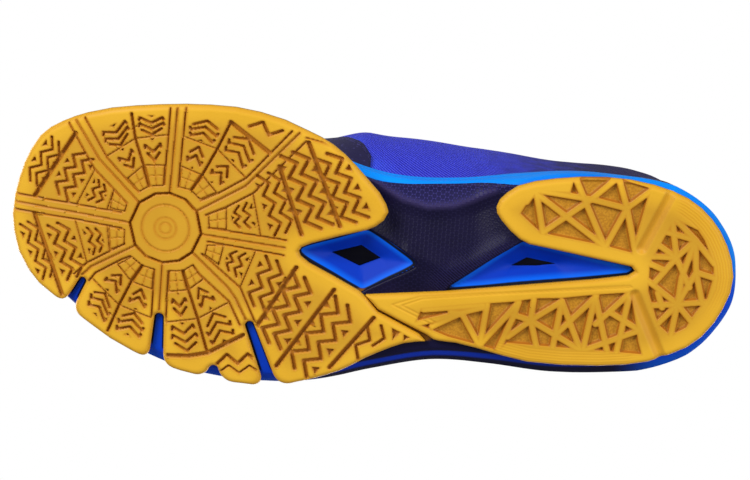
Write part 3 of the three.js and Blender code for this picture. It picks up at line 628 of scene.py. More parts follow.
# %% Rear tread
WEBS = [
    np.array([[-21, -24.4], [-45, -20], [-57, -18], [-67, -15.6], [-77, -14.6], [-90, -12], [-105, -9.6],
              [-110, -30], [-112, -35.4], [-57, -35.6], [-53, -39], [-46, -37.6], [-33, -35.2],
              [-19, -30.6]], float),
    np.array([[-57, 19], [-61.6, 28.6], [-76, 29.4], [-77, 35], [-82, 36.6], [-95, 37], [-109, 34],
              [-104.4, 6.6], [-92, 8.8], [-66, 11.8]], float),
    np.array([[-119, 22.4], [-112.4, 6.6], [-111, 3], [-111.6, -8.6], [-117, -22], [-122.6, -26.4],
              [-128.6, -22.6], [-131.6, -16], [-135.8, -9.6], [-137.4, 0], [-136.6, 5.6], [-132, 14.6],
              [-128.8, 18.6]],
              float),
]
RIBS = [
    # outer strip, from the arch to the heel
    [(-19, -31), (-46, -21.4)], [(-22, -24.6), (-46, -20.4)], [(-26, -31.4), (-37.4, -24.6), (-46, -38)],
    [(-33, -24.6), (-37.4, -24.6)], [(-47.4, -20), (-46, -38)], [(-46, -37.6), (-60, -18)],
    [(-53.6, -38.6), (-58.6, -24), (-60, -18)], [(-58, -23.4), (-65.6, -25.2), (-66, -16)],
    [(-57, -33), (-65.6, -25.2), (-77.4, -16)], [(-65.6, -25.2), (-69, -36)], [(-65.6, -25.2), (-87, -36)],
    [(-77.4, -16), (-75.6, -36)], [(-77.4, -16), (-87, -36)], [(-76.6, -30), (-91, -12.6)],
    [(-90.6, -12.6), (-88, -36)], [(-90.6, -12.6), (-98, -36)], [(-92, -24.4), (-104.4, -10)],
    [(-88, -36), (-110, -25.4)], [(-104.4, -10), (-101.6, -36)], [(-97.6, -19), (-110, -25.4)],
    # inner side of the heel
    [(-59, 24), (-62, 29.4)], [(-62.4, 29), (-66.8, 12)], [(-62.4, 28), (-92, 8.6)], [(-66.8, 12),
    (-85, 27.6)],
    [(-60, 29.4), (-85, 27.4), (-99, 25)], [(-77, 36.6), (-92, 8.6)], [(-85, 27.6), (-94.6, 37.6),
    (-99.4, 25)],
    [(-99.4, 25), (-92.6, 8.6)], [(-99.4, 25), (-104.8, 6.6)], [(-99.4, 25), (-109.6, 34.4)],
    [(-94.6, 37.6), (-99.4, 25)], [(-109, 34), (-104.4, 6.6)],
    # back of the heel, radiating from three hubs
    [(-128.2, 14.4), (-119, 22.4)], [(-128.2, 14.4), (-121.4, 6.4)], [(-128.2, 14.4), (-116.6, 16.6)],
    [(-128.2, 14.4), (-137, 5)], [(-128.2, 14.4), (-130, 1), (-134, -12)], [(-128.2, 14.4), (-124.4, -2),
    (-124, -13)],
    [(-121.4, 6.4), (-118, 22)], [(-121.4, 6.4), (-111.4, 6)], [(-121.4, 6.4), (-114, -4.6)],
    [(-121.4, 6.4), (-128, -5.6)],
    [(-121.4, 6.4), (-112, 12)], [(-124, -13), (-111, -4.2)], [(-124, -13), (-114, -14.4)], [(-124, -13),
    (-117, -22)],
    [(-124, -13), (-122.8, -27)], [(-124, -13), (-130.6, -20)], [(-124, -13), (-136.6, -11)], [(-124, -13),
    (-130, 1)],
    [(-114, -4.6), (-117.6, 0.6), (-110.8, 3)], [(-130, 1), (-138, -1)], [(-115.6, -9), (-118, -15)],
]
RIB_W = 2.3
CHANNELS = [((-118.6, 38), (-107.2, 9), 3.0), ((-106.6, -10.6), (-121.4, -39), 3.0)]


def pocket_edge(x, y):
    """Signed distance to the nearest pocket: inside a web and away from every rib."""
    rib = np.min([path_distance(x, y, points) for points in RIBS], 0)
    web = np.min([outline_distance(x, y, outline) for outline in WEBS], 0)
    return np.maximum(web, RIB_W / 2 - rib)


def rim_lines(x, y, inside):
    """Fine ribs that follow the rim round the heel and along the outer side: a sine of the edge distance."""
    heel = smoothstep(-118, -122, x) * smoothstep(-20, -6, y)
    side = smoothstep(-33, -36.5, y) * smoothstep(-112, -106, x) * smoothstep(-44, -52, x)
    band = smoothstep(0.8, 1.6, inside) * smoothstep(7.6, 6.6, inside)
    return np.maximum(heel, side) * band * (0.5 - 0.5 * np.cos(2 * np.pi * inside / 1.15))


def rearfoot_relief(x, y, inside):
    """Pockets 1.7 mm deep with sloping walls, two soft channels across the heel, and a rounded rim."""
    depth = 1.7 * smoothstep(0, 0.8, -pocket_edge(x, y)) * smoothstep(0.3, 1.8, inside)
    for a, b, half in CHANNELS:
        d = path_distance(x, y, [a, b])
        depth = np.maximum(depth, 1.5 * (0.5 + 0.5 * np.cos(np.pi * np.clip(d / half, 0, 1))))
    lip = outline_distance(x, y, REAR_LIP)
    depth = np.maximum(depth, 0.35 * np.clip(1 - np.abs(lip) / 0.5, 0, 1))
    return lift(x) + depth + edge_round(inside, 2.2) * 0.8 + rim_lines(x, y, inside) * 0.16


REAR_LIP = np.array([[-27, -29.4], [-13, -23.6], [-21, -20], [-50, -15.4], [-105, -7.6], [-104, -7],
                     [-52, -14.6], [-20, -19.2], [-9, -23.6], [-26, -30.6]], float)
tread_rearfoot = tread_pad("tread_rearfoot", REARFOOT, lambda x, y: outline_distance(x, y, REARFOOT),
                           rearfoot_relief, pocket_edge, rim_lines)
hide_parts("outsole_rearfoot")

# %% [markdown]
# ## Midsole, windows and arch plate
# The midsole is one block of foam. Its side wall leans in from the tread to the rim, its top is dished for
# the foot, and two windows with sloping walls are cut into its underside to make it springier.

# %% Midsole
WINDOW_FRONT = closed_curve([[30.2, -5], [27.4, -2.6], [16, 1.5], [6.4, 5.2], [4, 5.7], [1.2, 4.8],
                             [-8, -0.8], [-14.6, -4.8], [-16.4, -6.6], [-14.6, -8.6], [-6, -13.8],
                             [1.8, -18.8],
                             [4, -19.4],
                             [6.4, -18.6], [15, -14.2], [27.4, -8]], 4)
WINDOW_FRONT_FLOOR = np.array([[17.5, -6.2], [5.5, -2.1], [-2.8, -6.8], [5.7, -11]])
WINDOW_REAR = np.array([[-30.6, -16], [-31, -14.6], [-44, -4.6], [-57.6, 6.4], [-60, 7], [-80, 4],
                        [-103.6, 0.7], [-105.2, -0.2], [-105, -2], [-103, -3], [-80, -7.4], [-60, -10.8],
                        [-45, -13.6]])
WINDOW_REAR_FLOOR = np.array([[-56, -5.2], [-61.8, -1.3], [-74, -2.8], [-66, -4.4]])
WINDOW_DEEP = 5.9


GLUE_GAP = 0.3


def underside(x, y):
    """The foam's lower face: the tread's back, a glue gap and the arch."""
    return lift(x) + TREAD + GLUE_GAP + arch(x, y)


def window_depth(x, y):
    """A funnel: the share of the way from the window's edge to its floor, by the two distances."""
    depth = np.zeros(x.shape)
    for mouth, floor in ((WINDOW_FRONT, WINDOW_FRONT_FLOOR), (WINDOW_REAR, WINDOW_REAR_FLOOR)):
        out = -outline_distance(x, y, mouth)
        into = np.maximum(outline_distance(x, y, floor), 0)
        share = np.clip(out / np.maximum(out + into, 1e-6), 0, 1) * (out > 0)
        depth = np.maximum(depth, WINDOW_DEEP * share ** 0.9)
    return depth


def outward(curve, amount):
    """Moves a closed curve along its normals; the normal is the tangent turned a quarter."""
    tangent = np.roll(curve, -1, 0) - np.roll(curve, 1, 0)
    tangent /= np.linalg.norm(tangent, axis=1, keepdims=True)
    return curve + amount[:, None] * np.stack([tangent[:, 1], -tangent[:, 0]], 1)


def lean(x, y):
    """The side wall leans in by 4.5 mm, but hardly at all on the inner waist."""
    return 4.5 - 3.7 * (y > 0) * (1 - smoothstep(20, 48, x)) * smoothstep(-80, -40, x)


BASE = outward(RIM, lean(RIM[:, 0], RIM[:, 1]))


def belly(x, y):
    """How far the side wall flares past its base along the shoe: most on the outer side of the heel."""
    outer = np.interp(x, [-150, -138, -128, -110, -80, -40, 10, 40, 105, 130],
                      [2.8, 4.0, 5.8, 7.0, 5.8, 4.6, 4.2, 2.8, 3.0, 0])
    inner = np.interp(x, [-150, -138, -118, -92], [1.4, 1.0, 2.0, 0])
    side = smoothstep(4, -14, y)
    return outer * side + inner * (1 - side)


def flank(share, bulge):
    """A wall row a share of the way up, leaning in, with a little outward bulge."""
    def row(x, y, nx, ny, z):
        flare = smoothstep(0, 0.09, share) * (1 - smoothstep(0.16, 0.95, share))
        inward = lean(x, y) * share - bulge - belly(x, y) * flare
        top = rim_height(x)
        return x - nx * inward, y - ny * inward, z + (top - z) * share
    return row


def rim_roll(inward, drop):
    """A row of the rounded rim: so far in from the wall's top and so far below it."""
    def row(x, y, nx, ny, z):
        shift = lean(x, y) + inward
        return x - nx * shift, y - ny * shift, rim_height(x) - drop
    return row


def inside_wall(inward, level):
    """A row of the dish under the foot: level is the share of the way down from the rim to the footbed."""
    def row(x, y, nx, ny, z):
        shift = lean(x, y) + inward
        return x - nx * shift, y - ny * shift, rim_height(x) * (1 - level) + footbed(x) * level
    return row


midsole_walls = [flank(0.03, 0.35), flank(0.10, 0.6), flank(0.2, 0.75), flank(0.3, 0.8), flank(0.40, 0.78),
                 flank(0.47, 0.55), flank(0.5, 0.1), flank(0.53, 0.5), flank(0.6, 0.66), flank(0.72, 0.55),
                 flank(0.84, 0.35), flank(0.93, 0.12), rim_roll(0.15, 0.5), rim_roll(0.5, 0.12),
                 rim_roll(0.95, 0.0),
                 rim_roll(1.5, 0.15), rim_roll(1.75, 0.6), inside_wall(1.85, 0.3), inside_wall(1.9, 1.0)]


def midsole_relief(x, y, inside):
    """The underside with its windows and a rounded edge."""
    return underside(x, y) + window_depth(x, y) + edge_round(inside, 2.0) * 0.6


points, faces, _ = lattice_slab(lambda x, y: outline_distance(x, y, BASE), box_round(BASE, 2), 0.85 * FINE,
                                midsole_relief, midsole_walls, lambda x, y: footbed(x))
x, y, z = points.T
height = z - lift(x)
to_fore, to_rear = forefoot_distance(x, y), outline_distance(x, y, REARFOOT)
to_window = np.minimum(outline_distance(x, y, WINDOW_FRONT), outline_distance(x, y, WINDOW_REAR))
# These attributes also place the foam's painted light: height for the lit azure side, and the painted shadow
# at the seam, the tread's edge and the windows.
midsole = new_mesh("midsole_foam", points, faces, attributes={
    "rim": smoothstep(-3.2, -1.6, outline_distance(x, y, BASE)),
    "seam": smoothstep(4.0, 2.5, to_fore + to_rear) * (height < 6),
    "window": window_depth(x, y) * (height < 14) / WINDOW_DEEP,
    "above": np.clip(height / 30, 0, 1),
    "tread_gap": np.where(height < 9, np.clip(np.minimum(to_fore, to_rear), 0, FAR), FAR),
    "mouth": np.clip(-to_window, -FAR, FAR),
    "inner": smoothstep(-8, 8, y), "waist": smoothstep(28, 14, x) * smoothstep(-122, -100, x)})
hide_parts("midsole")
print("midsole:", len(points), "points")

# %% Arch plate and window floors
SHANK = closed_curve([
    [27, 32.8], [20, 31.4], [12, 28.4], [2, 24.6], [-10, 24], [-22, 25], [-34, 26.2], [-46, 28], [-56, 29.6],
    [-64, 31.4], [-72, 31.6], [-70, 28], [-60, 23], [-55, 16], [-57, 10.4], [-59.4, 7.2], [-57, 5],
    [-44, -4.8], [-31.6, -14.6],
    [-30, -17.6], [-20, -19.4], [-8, -21], [3, -21.4], [4, -20.2], [-6, -14.2], [-15.6, -8.8],
    [-17.2, -6.6], [-15.4, -4.4],
    [-6, 1.2], [2.6, 5.8], [6, 9], [8, 14], [12, 20], [20, 27]], 4)
SHANK_RIDGE = [(10, 29.5), (0, 23), (-10, 18.4), (-20, 16.4), (-30, 17.6), (-38, 20.6), (-46, 25.4)]
SHANK_KEEL = [(-14, -1.6), (-22, -4.6), (-30, -8.6), (-40, -4.4), (-52, 4.6)]


def shank_relief(x, y, inside):
    """The arch's own rise, a creased ridge that swings across the flank, and a raised lip at the edge."""
    ridge = np.clip(1 - path_distance(x, y, SHANK_RIDGE) / 6.0, 0, 1) ** 1.3
    keel = np.exp(-(path_distance(x, y, SHANK_KEEL) / 3.2) ** 2)
    lip = np.exp(-(inside / 1.1) ** 2)
    return underside(x, y) - 0.9 - 1.5 * ridge - 1.0 * keel - 0.35 * lip + edge_round(inside, 0.7)


points, faces, edge_mm = lattice_slab(
    lambda x, y: outline_distance(x, y, SHANK), ((-75, 30), (-24, 35)), 0.5 * FINE, shank_relief,
    [lambda x, y, nx, ny, z: (x, y, z + 0.8), lambda x, y, nx, ny, z: (x, y, underside(x, y) + 0.2)],
    lambda x, y: underside(x, y) + 0.2)
x, y, _ = points.T
ribbed = np.exp(-(path_distance(x, y, [(-30, -11), (-50, 3)]) / 6) ** 2)
# A painted highlight along the ridge.
ridge_highlight = np.clip(1 - path_distance(x, y, SHANK_RIDGE) / 2.2, 0, 1)
# Which side of the ridge a point lies on: the plate's finish paints the flank side lighter, as lit.
ridge_side = np.interp(x, *np.array(SHANK_RIDGE[::-1], float).T)
flank_share = smoothstep(-1.5, 1.5, y - ridge_side)
shank = new_mesh("arch_plate", points, faces, attributes={
    "flank": flank_share, "ribbed": ribbed, "edge_mm": edge_mm, "ridge_highlight": ridge_highlight})
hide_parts("shank")


def floor_pad(name, outline, node):
    """A dark plate a little smaller than the window's floor, slightly domed towards the ground."""
    centre = outline.mean(0)
    ring = centre + (outline - centre) * 0.97
    steps = np.linspace(0, 1, 9)[:, None, None]
    corners = np.concatenate([ring, ring[:1]])
    t = np.linspace(0, 1, 8, endpoint=False)[:, None, None]
    rim = (corners[None, :-1] * (1 - t) + corners[None, 1:] * t).transpose(1, 0, 2).reshape(-1, 2)
    grid = centre + (rim - centre)[None] * (1 - steps)
    z = TREAD + GLUE_GAP + WINDOW_DEEP - 0.35 - 0.25 * (steps[..., 0] * np.ones(len(rim)))
    lower = np.concatenate([grid, z[..., None]], 2)
    upper = lower[0] + [0, 0, 0.7]
    n = len(rim)
    pts = np.concatenate([lower.reshape(-1, 3), upper])
    k = np.arange(n)
    j = (k + 1) % n
    faces = []
    for r in range(len(steps) - 1):
        faces += np.stack([r * n + k, (r + 1) * n + k, (r + 1) * n + j, r * n + j], 1).tolist()
    top = len(steps) * n
    faces += np.stack([k, j, top + j, top + k], 1).tolist() + [(top + k).tolist()]
    made = new_mesh(name, pts, faces)
    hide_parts(node)
    return made


window_floor_front = floor_pad("window_floor_front", WINDOW_FRONT_FLOOR, "window_pad_front")
window_floor_rear = floor_pad("window_floor_rear", WINDOW_REAR_FLOOR, "window_pad_rear")

# %% [markdown]
# ## The last
# An upper is sewn flat and pulled over a last, a wooden foot. Here the last is a surface with two numbers:
# a goes round the shoe from the toe tip by the inner side to the heel and back, and t climbs from the
# bottom edge to the ridge over the instep. Each layer of the upper is a piece of this surface moved
# outwards by its own distance, so the layers follow each other exactly.

# %% The last's surface
LAST = outward(RIM, np.full(len(RIM), -5.0))
dense = closed_curve(LAST[::3], 12)
front_i, back_i = dense[:, 0].argmax(), dense[:, 0].argmin()
LAST_FRONT, LAST_BACK = dense[front_i, 0], dense[back_i, 0]
inner_run = np.roll(dense, -front_i, 0)[: (back_i - front_i) % len(dense) + 1]
outer_run = np.roll(dense, -back_i, 0)[: (front_i - back_i) % len(dense) + 1]
RIDGE = np.array([[-92, 127], [-50, 126], [-20, 121], [0, 113], [20, 102], [40, 90], [60, 78], [80, 69],
                  [100, 61], [117, 53]], float)
RIDGE_BACK, RIDGE_FRONT = RIDGE[0, 0], RIDGE[-1, 0]


def spline(x, knots):
    """A cubic through the knots whose slope at each is the mean of its neighbours' slopes."""
    kx, kz = knots[:, 0], knots[:, 1]
    slope = np.gradient(kz, kx)
    i = np.clip(np.searchsorted(kx, x) - 1, 0, len(kx) - 2)
    h = kx[i + 1] - kx[i]
    t = np.clip((x - kx[i]) / h, 0, 1)
    return ((2 * t**3 - 3 * t**2 + 1) * kz[i] + (t**3 - 2 * t**2 + t) * h * slope[i]
            + (3 * t**2 - 2 * t**3) * kz[i + 1] + (t**3 - t**2) * h * slope[i + 1])


def ridge_y(x):
    """The ridge runs a little to the outer side, and back to the middle at the toe."""
    return -4 + 5 * smoothstep(30, 120, x) + (1 - smoothstep(-100, -40, x))


def foot_y(x, inner):
    """Where the bottom edge runs at x, on the inner or the outer side."""
    return np.where(inner, np.interp(-x, -inner_run[:, 0], inner_run[:, 1]),
                    np.interp(x, outer_run[:, 0], outer_run[:, 1]))


def squareness(x):
    """The superellipse's power: square at the heel, rounder over the instep and at the toe."""
    return 3.1 - 0.6 * smoothstep(-110, -30, x) - 0.35 * smoothstep(10, 110, x)


def arch_swell(x, up):
    """How far the inner side stands out over the arch, and in at the heel: half a sine up the side."""
    out = 12.5 * smoothstep(-78, -8, x) * (1 - smoothstep(4, 32, x))
    out = out - 2.4 * smoothstep(-55, -90, x) * smoothstep(-136, -112, x)
    return out * np.sin(np.pi * np.clip(up, 0, 1))


def last_point(a, t):
    """A superellipse quarter from the bottom edge to the ridge, plus a swell on the inner arch."""
    half = (LAST_FRONT - LAST_BACK) / 2
    x = (LAST_FRONT + LAST_BACK) / 2 + half * np.cos(a)
    inner = np.sin(a) >= 0
    y = foot_y(x, inner)
    ridge_x = RIDGE_BACK + (x - LAST_BACK) / (2 * half) * (RIDGE_FRONT - RIDGE_BACK)
    n = squareness(x)
    c, s = np.cos(t * np.pi / 2), np.sin(t * np.pi / 2)
    c = np.maximum(c, 0)
    r = (c**n + s**n) ** (-1 / n)
    across, up = 1 - r * c, r * s
    swell = arch_swell(x, up) * inner
    return np.stack([x + (ridge_x - x) * across, y + (ridge_y(ridge_x) - y) * across + swell,
                     footbed(x) + (spline(ridge_x, RIDGE) - footbed(x)) * up], -1)


def last_normal(a, t):
    """Cross product of the two slopes; on the ridge itself, straight up from the ridge's own slope."""
    e = 0.012
    du = last_point(a + e, t) - last_point(a - e, t)
    dv = last_point(a, np.minimum(t + e, 1)) - last_point(a, np.maximum(t - e, 0))
    n = np.cross(du, dv)
    n /= np.linalg.norm(n, axis=-1, keepdims=True) + 1e-12
    x = last_point(a, np.ones_like(t))[..., 0]
    slope = (spline(x + 1, RIDGE) - spline(x - 1, RIDGE)) / 2
    top = np.stack([-slope, 0 * slope, np.ones_like(slope)], -1)
    top /= np.linalg.norm(top, axis=-1, keepdims=True)
    w = smoothstep(0.985, 1.0, t)[..., None]
    n = n * (1 - w) + top * w
    return n / np.linalg.norm(n, axis=-1, keepdims=True)


def skin(a, t, distance):
    """A point of the last moved outwards along its normal."""
    return last_point(a, t) + last_normal(a, t) * np.asarray(distance)[..., None]


# %% Where the upper is open
TOPLINE = np.array([[-152, 103], [-134, 100], [-119, 94], [-98, 83], [-72, 77], [-47, 80], [-27, 91],
                    [-12, 103], [-2, 112], [4, 135]], float)
THROAT_FRONT, THROAT_HALF = 64.0, 9.0


def gap_half(x):
    """Half width of the lacing gap, which widens backwards."""
    return THROAT_HALF + 0.1 * (THROAT_FRONT - x)


def opening(p):
    """Positive where a point lies in the lacing gap or above the topline, in millimetres."""
    x, y, z = p[..., 0], p[..., 1], p[..., 2]
    side = gap_half(x) - np.abs(y - ridge_y(x))
    front = THROAT_HALF - np.hypot(np.maximum(x - (THROAT_FRONT - THROAT_HALF), 0), y - ridge_y(x))
    throat = np.where(x > THROAT_FRONT - THROAT_HALF, front, side)
    throat = np.where((z > 55) & (x > -30), throat, -9)
    above = np.where(x < 4, z - spline(x, TOPLINE), -9)
    return np.maximum(throat, above)


def first_crossing(a, test, low=0.02):
    """The first t, going up, at which test(point) turns positive; 1 where it never does."""
    steps = 240
    t = np.linspace(low, 1, steps)
    aa, tt = np.meshgrid(a, t, indexing="ij")
    value = test(last_point(aa, tt))
    hit = value > 0
    k = np.where(hit.any(1), hit.argmax(1), steps - 1)
    k0 = np.maximum(k - 1, 0)
    rows = np.arange(len(a))
    v0, v1 = value[rows, k0], value[rows, k]
    share = np.clip(-v0 / np.where(np.abs(v1 - v0) < 1e-9, 1, v1 - v0), 0, 1)
    return np.where(hit.any(1), t[k0] + share * (t[k] - t[k0]), 1.0)


def weld(obj):
    """Joins the vertices that meet, keeping each face's own UVs."""
    bm = bmesh.new()
    bm.from_mesh(obj.data)
    bmesh.ops.remove_doubles(bm, verts=bm.verts, dist=2e-6)
    bmesh.ops.dissolve_degenerate(bm, edges=bm.edges, dist=1e-7)
    bm.to_mesh(obj.data)
    bm.free()


def shell(name, a, t_low, t_high, faces_mm, rows, closed=False, turns=(0.35, 0.65)):
    """One layer: outer grid, rounded edge and inner grid. A face is a distance, or an array of them."""
    v = np.linspace(0, 1, rows)
    A = np.repeat(a[:, None], rows, 1)
    T = t_low[:, None] + (t_high - t_low)[:, None] * v[None]
    inside_mm, outside_mm = (np.zeros(T.shape) + face for face in faces_mm)
    middle, half = (inside_mm + outside_mm)[:, -1] / 2, (outside_mm - inside_mm)[:, -1] / 2
    outer, inner = skin(A, T, outside_mm), skin(A, T, inside_mm)
    strips = [outer]
    direction = outer[:, -1] - outer[:, -2]
    direction /= np.linalg.norm(direction, axis=-1, keepdims=True) + 1e-9
    ridge = t_high > 0.9995
    for turn in turns:
        phi = np.pi * turn
        edge = skin(a, t_high, middle + half * np.cos(phi))
        edge = edge + direction * (half * np.sin(phi) * ~ridge)[:, None]
        strips.append(edge[:, None])
    strips.append(inner[:, ::-1])
    ring = np.concatenate(strips, 1)
    na, nr = ring.shape[:2]
    ids = np.arange(na * nr).reshape(na, nr)
    nxt = np.roll(ids, -1, 0) if closed else ids[1:]
    cur = ids if closed else ids[:-1]
    f = np.stack([cur, nxt, np.roll(nxt, -1, 1), np.roll(cur, -1, 1)], -1)
    on_ridge = np.zeros((na, nr), bool)
    on_ridge[ridge, rows - 1:rows + 1 + len(turns)] = True
    skip = on_ridge & np.roll(on_ridge, -1, 0)
    skip[:, rows + len(turns)] = False
    f = f[~(skip if closed else skip[:-1])].reshape(-1, 4).tolist()
    if not closed:
        # End caps: quads between the two faces, so that they follow the bend.
        for end, flip in ((0, 1), (na - 1, -1)):
            for k in range(nr // 2 - 1):
                quad = [k, k + 1, nr - 2 - k, nr - 1 - k]
                f.append([int(ids[end, i]) for i in quad[::flip]])
            if nr % 2:
                f.append([int(ids[end, i]) for i in [nr // 2 - 1, nr // 2, nr // 2 + 1][::flip]])
    # UV in tenths of a metre: u along the bottom edge from the toe, v up the surface.
    fine = np.linspace(0, 2 * np.pi, 721)
    foot = last_point(fine, np.zeros_like(fine))
    along = np.concatenate([[0], np.cumsum(np.linalg.norm(np.diff(foot, axis=0), axis=1))])
    total = along[-1]
    u = np.interp(a % (2 * np.pi), fine, along)
    u = np.minimum(u, total - u)
    climb = np.cumsum(np.linalg.norm(np.diff(outer, axis=1), axis=-1), 1)
    climb = np.concatenate([np.zeros((len(a), 1)), climb], 1)
    climb = climb + (t_low * 60)[:, None]
    over = np.repeat(climb[:, -1:], len(turns), 1)
    vv = np.concatenate([climb, over + np.asarray(turns), climb[:, ::-1]], 1)
    uv = np.stack([np.repeat(u[:, None], nr, 1), vv], -1).reshape(-1, 2) * 0.01
    rim_mm = np.concatenate([climb[:, -1:] - climb, over * 0, (climb[:, -1:] - climb)[:, ::-1]], 1)
    obj = new_mesh(name, ring.reshape(-1, 3), f, uv=uv, attributes={"rim_mm": rim_mm.ravel()})
    weld(obj)
    return obj


# %% [markdown]
# ## The upper's layers
# The mesh upper goes all the way round and ends at the topline and the lacing gap. Navy synthetic leather is
# sewn over it round the toe, round the heel and beside the eyelets.

# %% Upper layers
N_AROUND = int(420 / FINE)
around = np.linspace(0, 2 * np.pi, N_AROUND, endpoint=False)
edge_t = first_crossing(around, opening)
upper = shell("upper_mesh", around, np.zeros(N_AROUND), edge_t, (0.0, 1.3), int(40 / FINE),
              closed=True)
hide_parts("vamp", "quarter_medial", "quarter_lateral")
print("upper:", len(upper.data.vertices), "points")

TOE_OVERLAY = np.array([[5, -10], [5, 32], [9, 42], [16, 50], [44, 53], [78, 50], [98, 58], [101, 100],
                        [200, 100], [200, -10]], float)
HEEL_OVERLAY = np.array([[-200, -10], [-94, -10], [-98, 40], [-110, 62], [-124, 78], [-127, 120],
                         [-200, 120]], float)


def beyond(outline):
    """Positive outside a side-view outline."""
    return lambda p: np.where(opening(p) > 0, 1.0, outline_distance(p[..., 0], p[..., 2], outline))


def overlay(name, outline, faces_mm, a_low, a_high, node, count):
    """A piece sewn over the upper between two turns, up to the first place outside its side-view outline."""
    a = np.linspace(a_low, a_high, count)
    top = first_crossing(a, beyond(outline), low=0.0)
    a, top = a[top > 0.012], top[top > 0.012]
    made = shell(name, a, np.zeros(len(a)), top, faces_mm, 30)
    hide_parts(node)
    return made


toe_overlay = overlay("toe_overlay_skin", TOE_OVERLAY, (1.34, 2.5), -1.75, 1.75,
                      "toe_overlay", int(300 / FINE))
heel_overlay = overlay("heel_overlay_skin", HEEL_OVERLAY, (1.34, 2.6), np.pi - 0.95, np.pi + 0.95,
                       "heel_overlay", int(160 / FINE))


# %% [markdown]
# ## Collar, tongue and eyelets
# The collar is a padded roll inside the topline, thickest halfway up. The tongue and the eyelet strips lie
# over the ridge, where the last is nearly level, so there it is handier as a height over the plan.

# %% Collar
def below_collar(p):
    """Positive once a point is above the collar's lower seam."""
    seam = np.where(p[..., 0] < -40, 62.0, 62 + (p[..., 0] + 40))
    return p[..., 2] - seam


rear = np.linspace(0.15, 2 * np.pi - 0.15, int(420 / FINE))
top_t = first_crossing(rear, opening)
top_x = last_point(rear, top_t)[:, 0]
inside_collar = top_x < -19
rear, top_t = rear[inside_collar], top_t[inside_collar]
low_t = np.minimum(first_crossing(rear, below_collar), top_t - 0.03)
v = np.linspace(0, 1, 26)[None]
ends = 1 - np.abs(np.linspace(-1, 1, len(rear))) ** 14
puff = (0.9 + 5.6 * np.sqrt(np.maximum(ends, 0)))[:, None] * (0.30 + 0.70 * np.sin(np.pi * (0.10 + 0.66 * v)))
# Two sewn channels run round the collar where the lining is stitched through the padding.
for channel in (0.30, 0.62):
    puff = puff * (1 - 0.22 * np.exp(-((v - channel) / 0.03) ** 2))
collar = shell("padded_collar", rear, low_t, top_t, (-0.35 - puff, -0.35), 26,
               turns=(0.08, 0.18, 0.3, 0.42, 0.54, 0.66, 0.78, 0.9))
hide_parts("collar_padding", "collar_lining")
print("collar:", len(collar.data.vertices), "points")


# %% The instep as a height over the plan
def instep_height(x, y):
    """Height of the last above (x, y): its ridge point is found by repeating x = ridge + share of the way."""
    inner = y >= ridge_y(x)
    rx, swell = x * 1.0, 0 * x
    for _ in range(40):
        rx = np.clip(rx, RIDGE_BACK, RIDGE_FRONT)
        foot_x = LAST_BACK + (rx - RIDGE_BACK) / (RIDGE_FRONT - RIDGE_BACK) * (LAST_FRONT - LAST_BACK)
        q = np.clip((y - swell - ridge_y(rx)) / (foot_y(foot_x, inner) - ridge_y(rx)), 0, 0.985)
        n = squareness(foot_x)
        up = (1 - q**n) ** (1 / n)
        swell = 0.6 * swell + 0.4 * arch_swell(foot_x, up) * inner
        rx = 0.4 * rx + 0.6 * (x - (foot_x - rx) * q)
    return footbed(foot_x) + (spline(rx, RIDGE) - footbed(foot_x)) * up


def instep(x, y, distance):
    """A point over the instep, moved off the last along its normal."""
    z = instep_height(x, y)
    zx = (instep_height(x + 0.6, y) - instep_height(x - 0.6, y)) / 1.2
    zy = (instep_height(x, y + 0.6) - instep_height(x, y - 0.6)) / 1.2
    n = np.stack([-zx, -zy, np.ones_like(z)], -1)
    n /= np.linalg.norm(n, axis=-1, keepdims=True)
    return np.stack([x, y, z], -1) + n * np.asarray(distance)[..., None]


# %% Tongue
TONGUE_BACK, TONGUE_FRONT = -31.0, 76.0
u = np.linspace(0, 1, int(110 / FINE))
v = np.sin(np.linspace(-1, 1, 41) * np.pi / 2)
X = np.repeat((TONGUE_BACK + (TONGUE_FRONT - TONGUE_BACK) * u)[:, None], len(v), 1)
free = np.sqrt(np.maximum(1 - 0.75 * smoothstep(-16, -31, X) ** 2, 0))
half_width = np.where(X < 0, 14.5 + 4.5 * smoothstep(-14, 0, X), 11 + 8 * smoothstep(76, 30, X)) * free
Y = ridge_y(X) + v[None] * half_width
inset = (1 - np.abs(v[None])) * half_width
from_end = np.minimum(X - TONGUE_BACK, TONGUE_FRONT - X)
border = np.minimum(inset, from_end)
thick = 0.35 + 2.35 * np.sqrt(np.clip(1 - (1 - np.clip(border / 2.6, 0, 1)) ** 2, 0, 1))
# A stitched hem inside the rim, and cross channels where the padding is thinner.
thick = thick - 0.9 * np.exp(-((border - 4.2) / 0.7) ** 2)
for channel in (6, 26, 46):
    thick = thick - 0.8 * np.exp(-((X - channel) / 0.9) ** 2) * smoothstep(4, 6, inset)
upper_side, under_side = instep(X, Y, -5.7 + thick), instep(X, Y, -5.7 - np.minimum(thick, 2.7))
ring = np.concatenate([upper_side, under_side[:, ::-1]], 1)
nu, nr = ring.shape[:2]
ids = np.arange(nu * nr).reshape(nu, nr)
f = np.stack([ids[:-1], np.roll(ids[:-1], -1, 1), np.roll(ids[1:], -1, 1), ids[1:]], -1)
f = f.reshape(-1, 4).tolist()
for end, flip in ((0, 1), (nu - 1, -1)):
    for k in range(nr // 2 - 1):
        f.append([int(ids[end, i]) for i in [k, nr - 1 - k, nr - 2 - k, k + 1][::flip]])
uv = np.stack([np.concatenate([X, X], 1), np.concatenate([Y, Y[:, ::-1]], 1)], -1).reshape(-1, 2) * 0.01
tongue = new_mesh("tongue_padded", ring.reshape(-1, 3), f, body=None, uv=uv,
                  attributes={"rim_mm": np.concatenate([border, border[:, ::-1]], 1).ravel()})
start, end = metres([6.0, -3.0, 108.0]), metres([-15.0, -3.0, 118.0])
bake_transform(tongue)
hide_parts("tongue_lower", "tongue_upper")
print("tongue:", len(tongue.data.vertices), "points")

# %% Eyelet strips
EYELETS = [(THROAT_FRONT - THROAT_HALF - 2 - 9.5 * k) for k in range(6)]


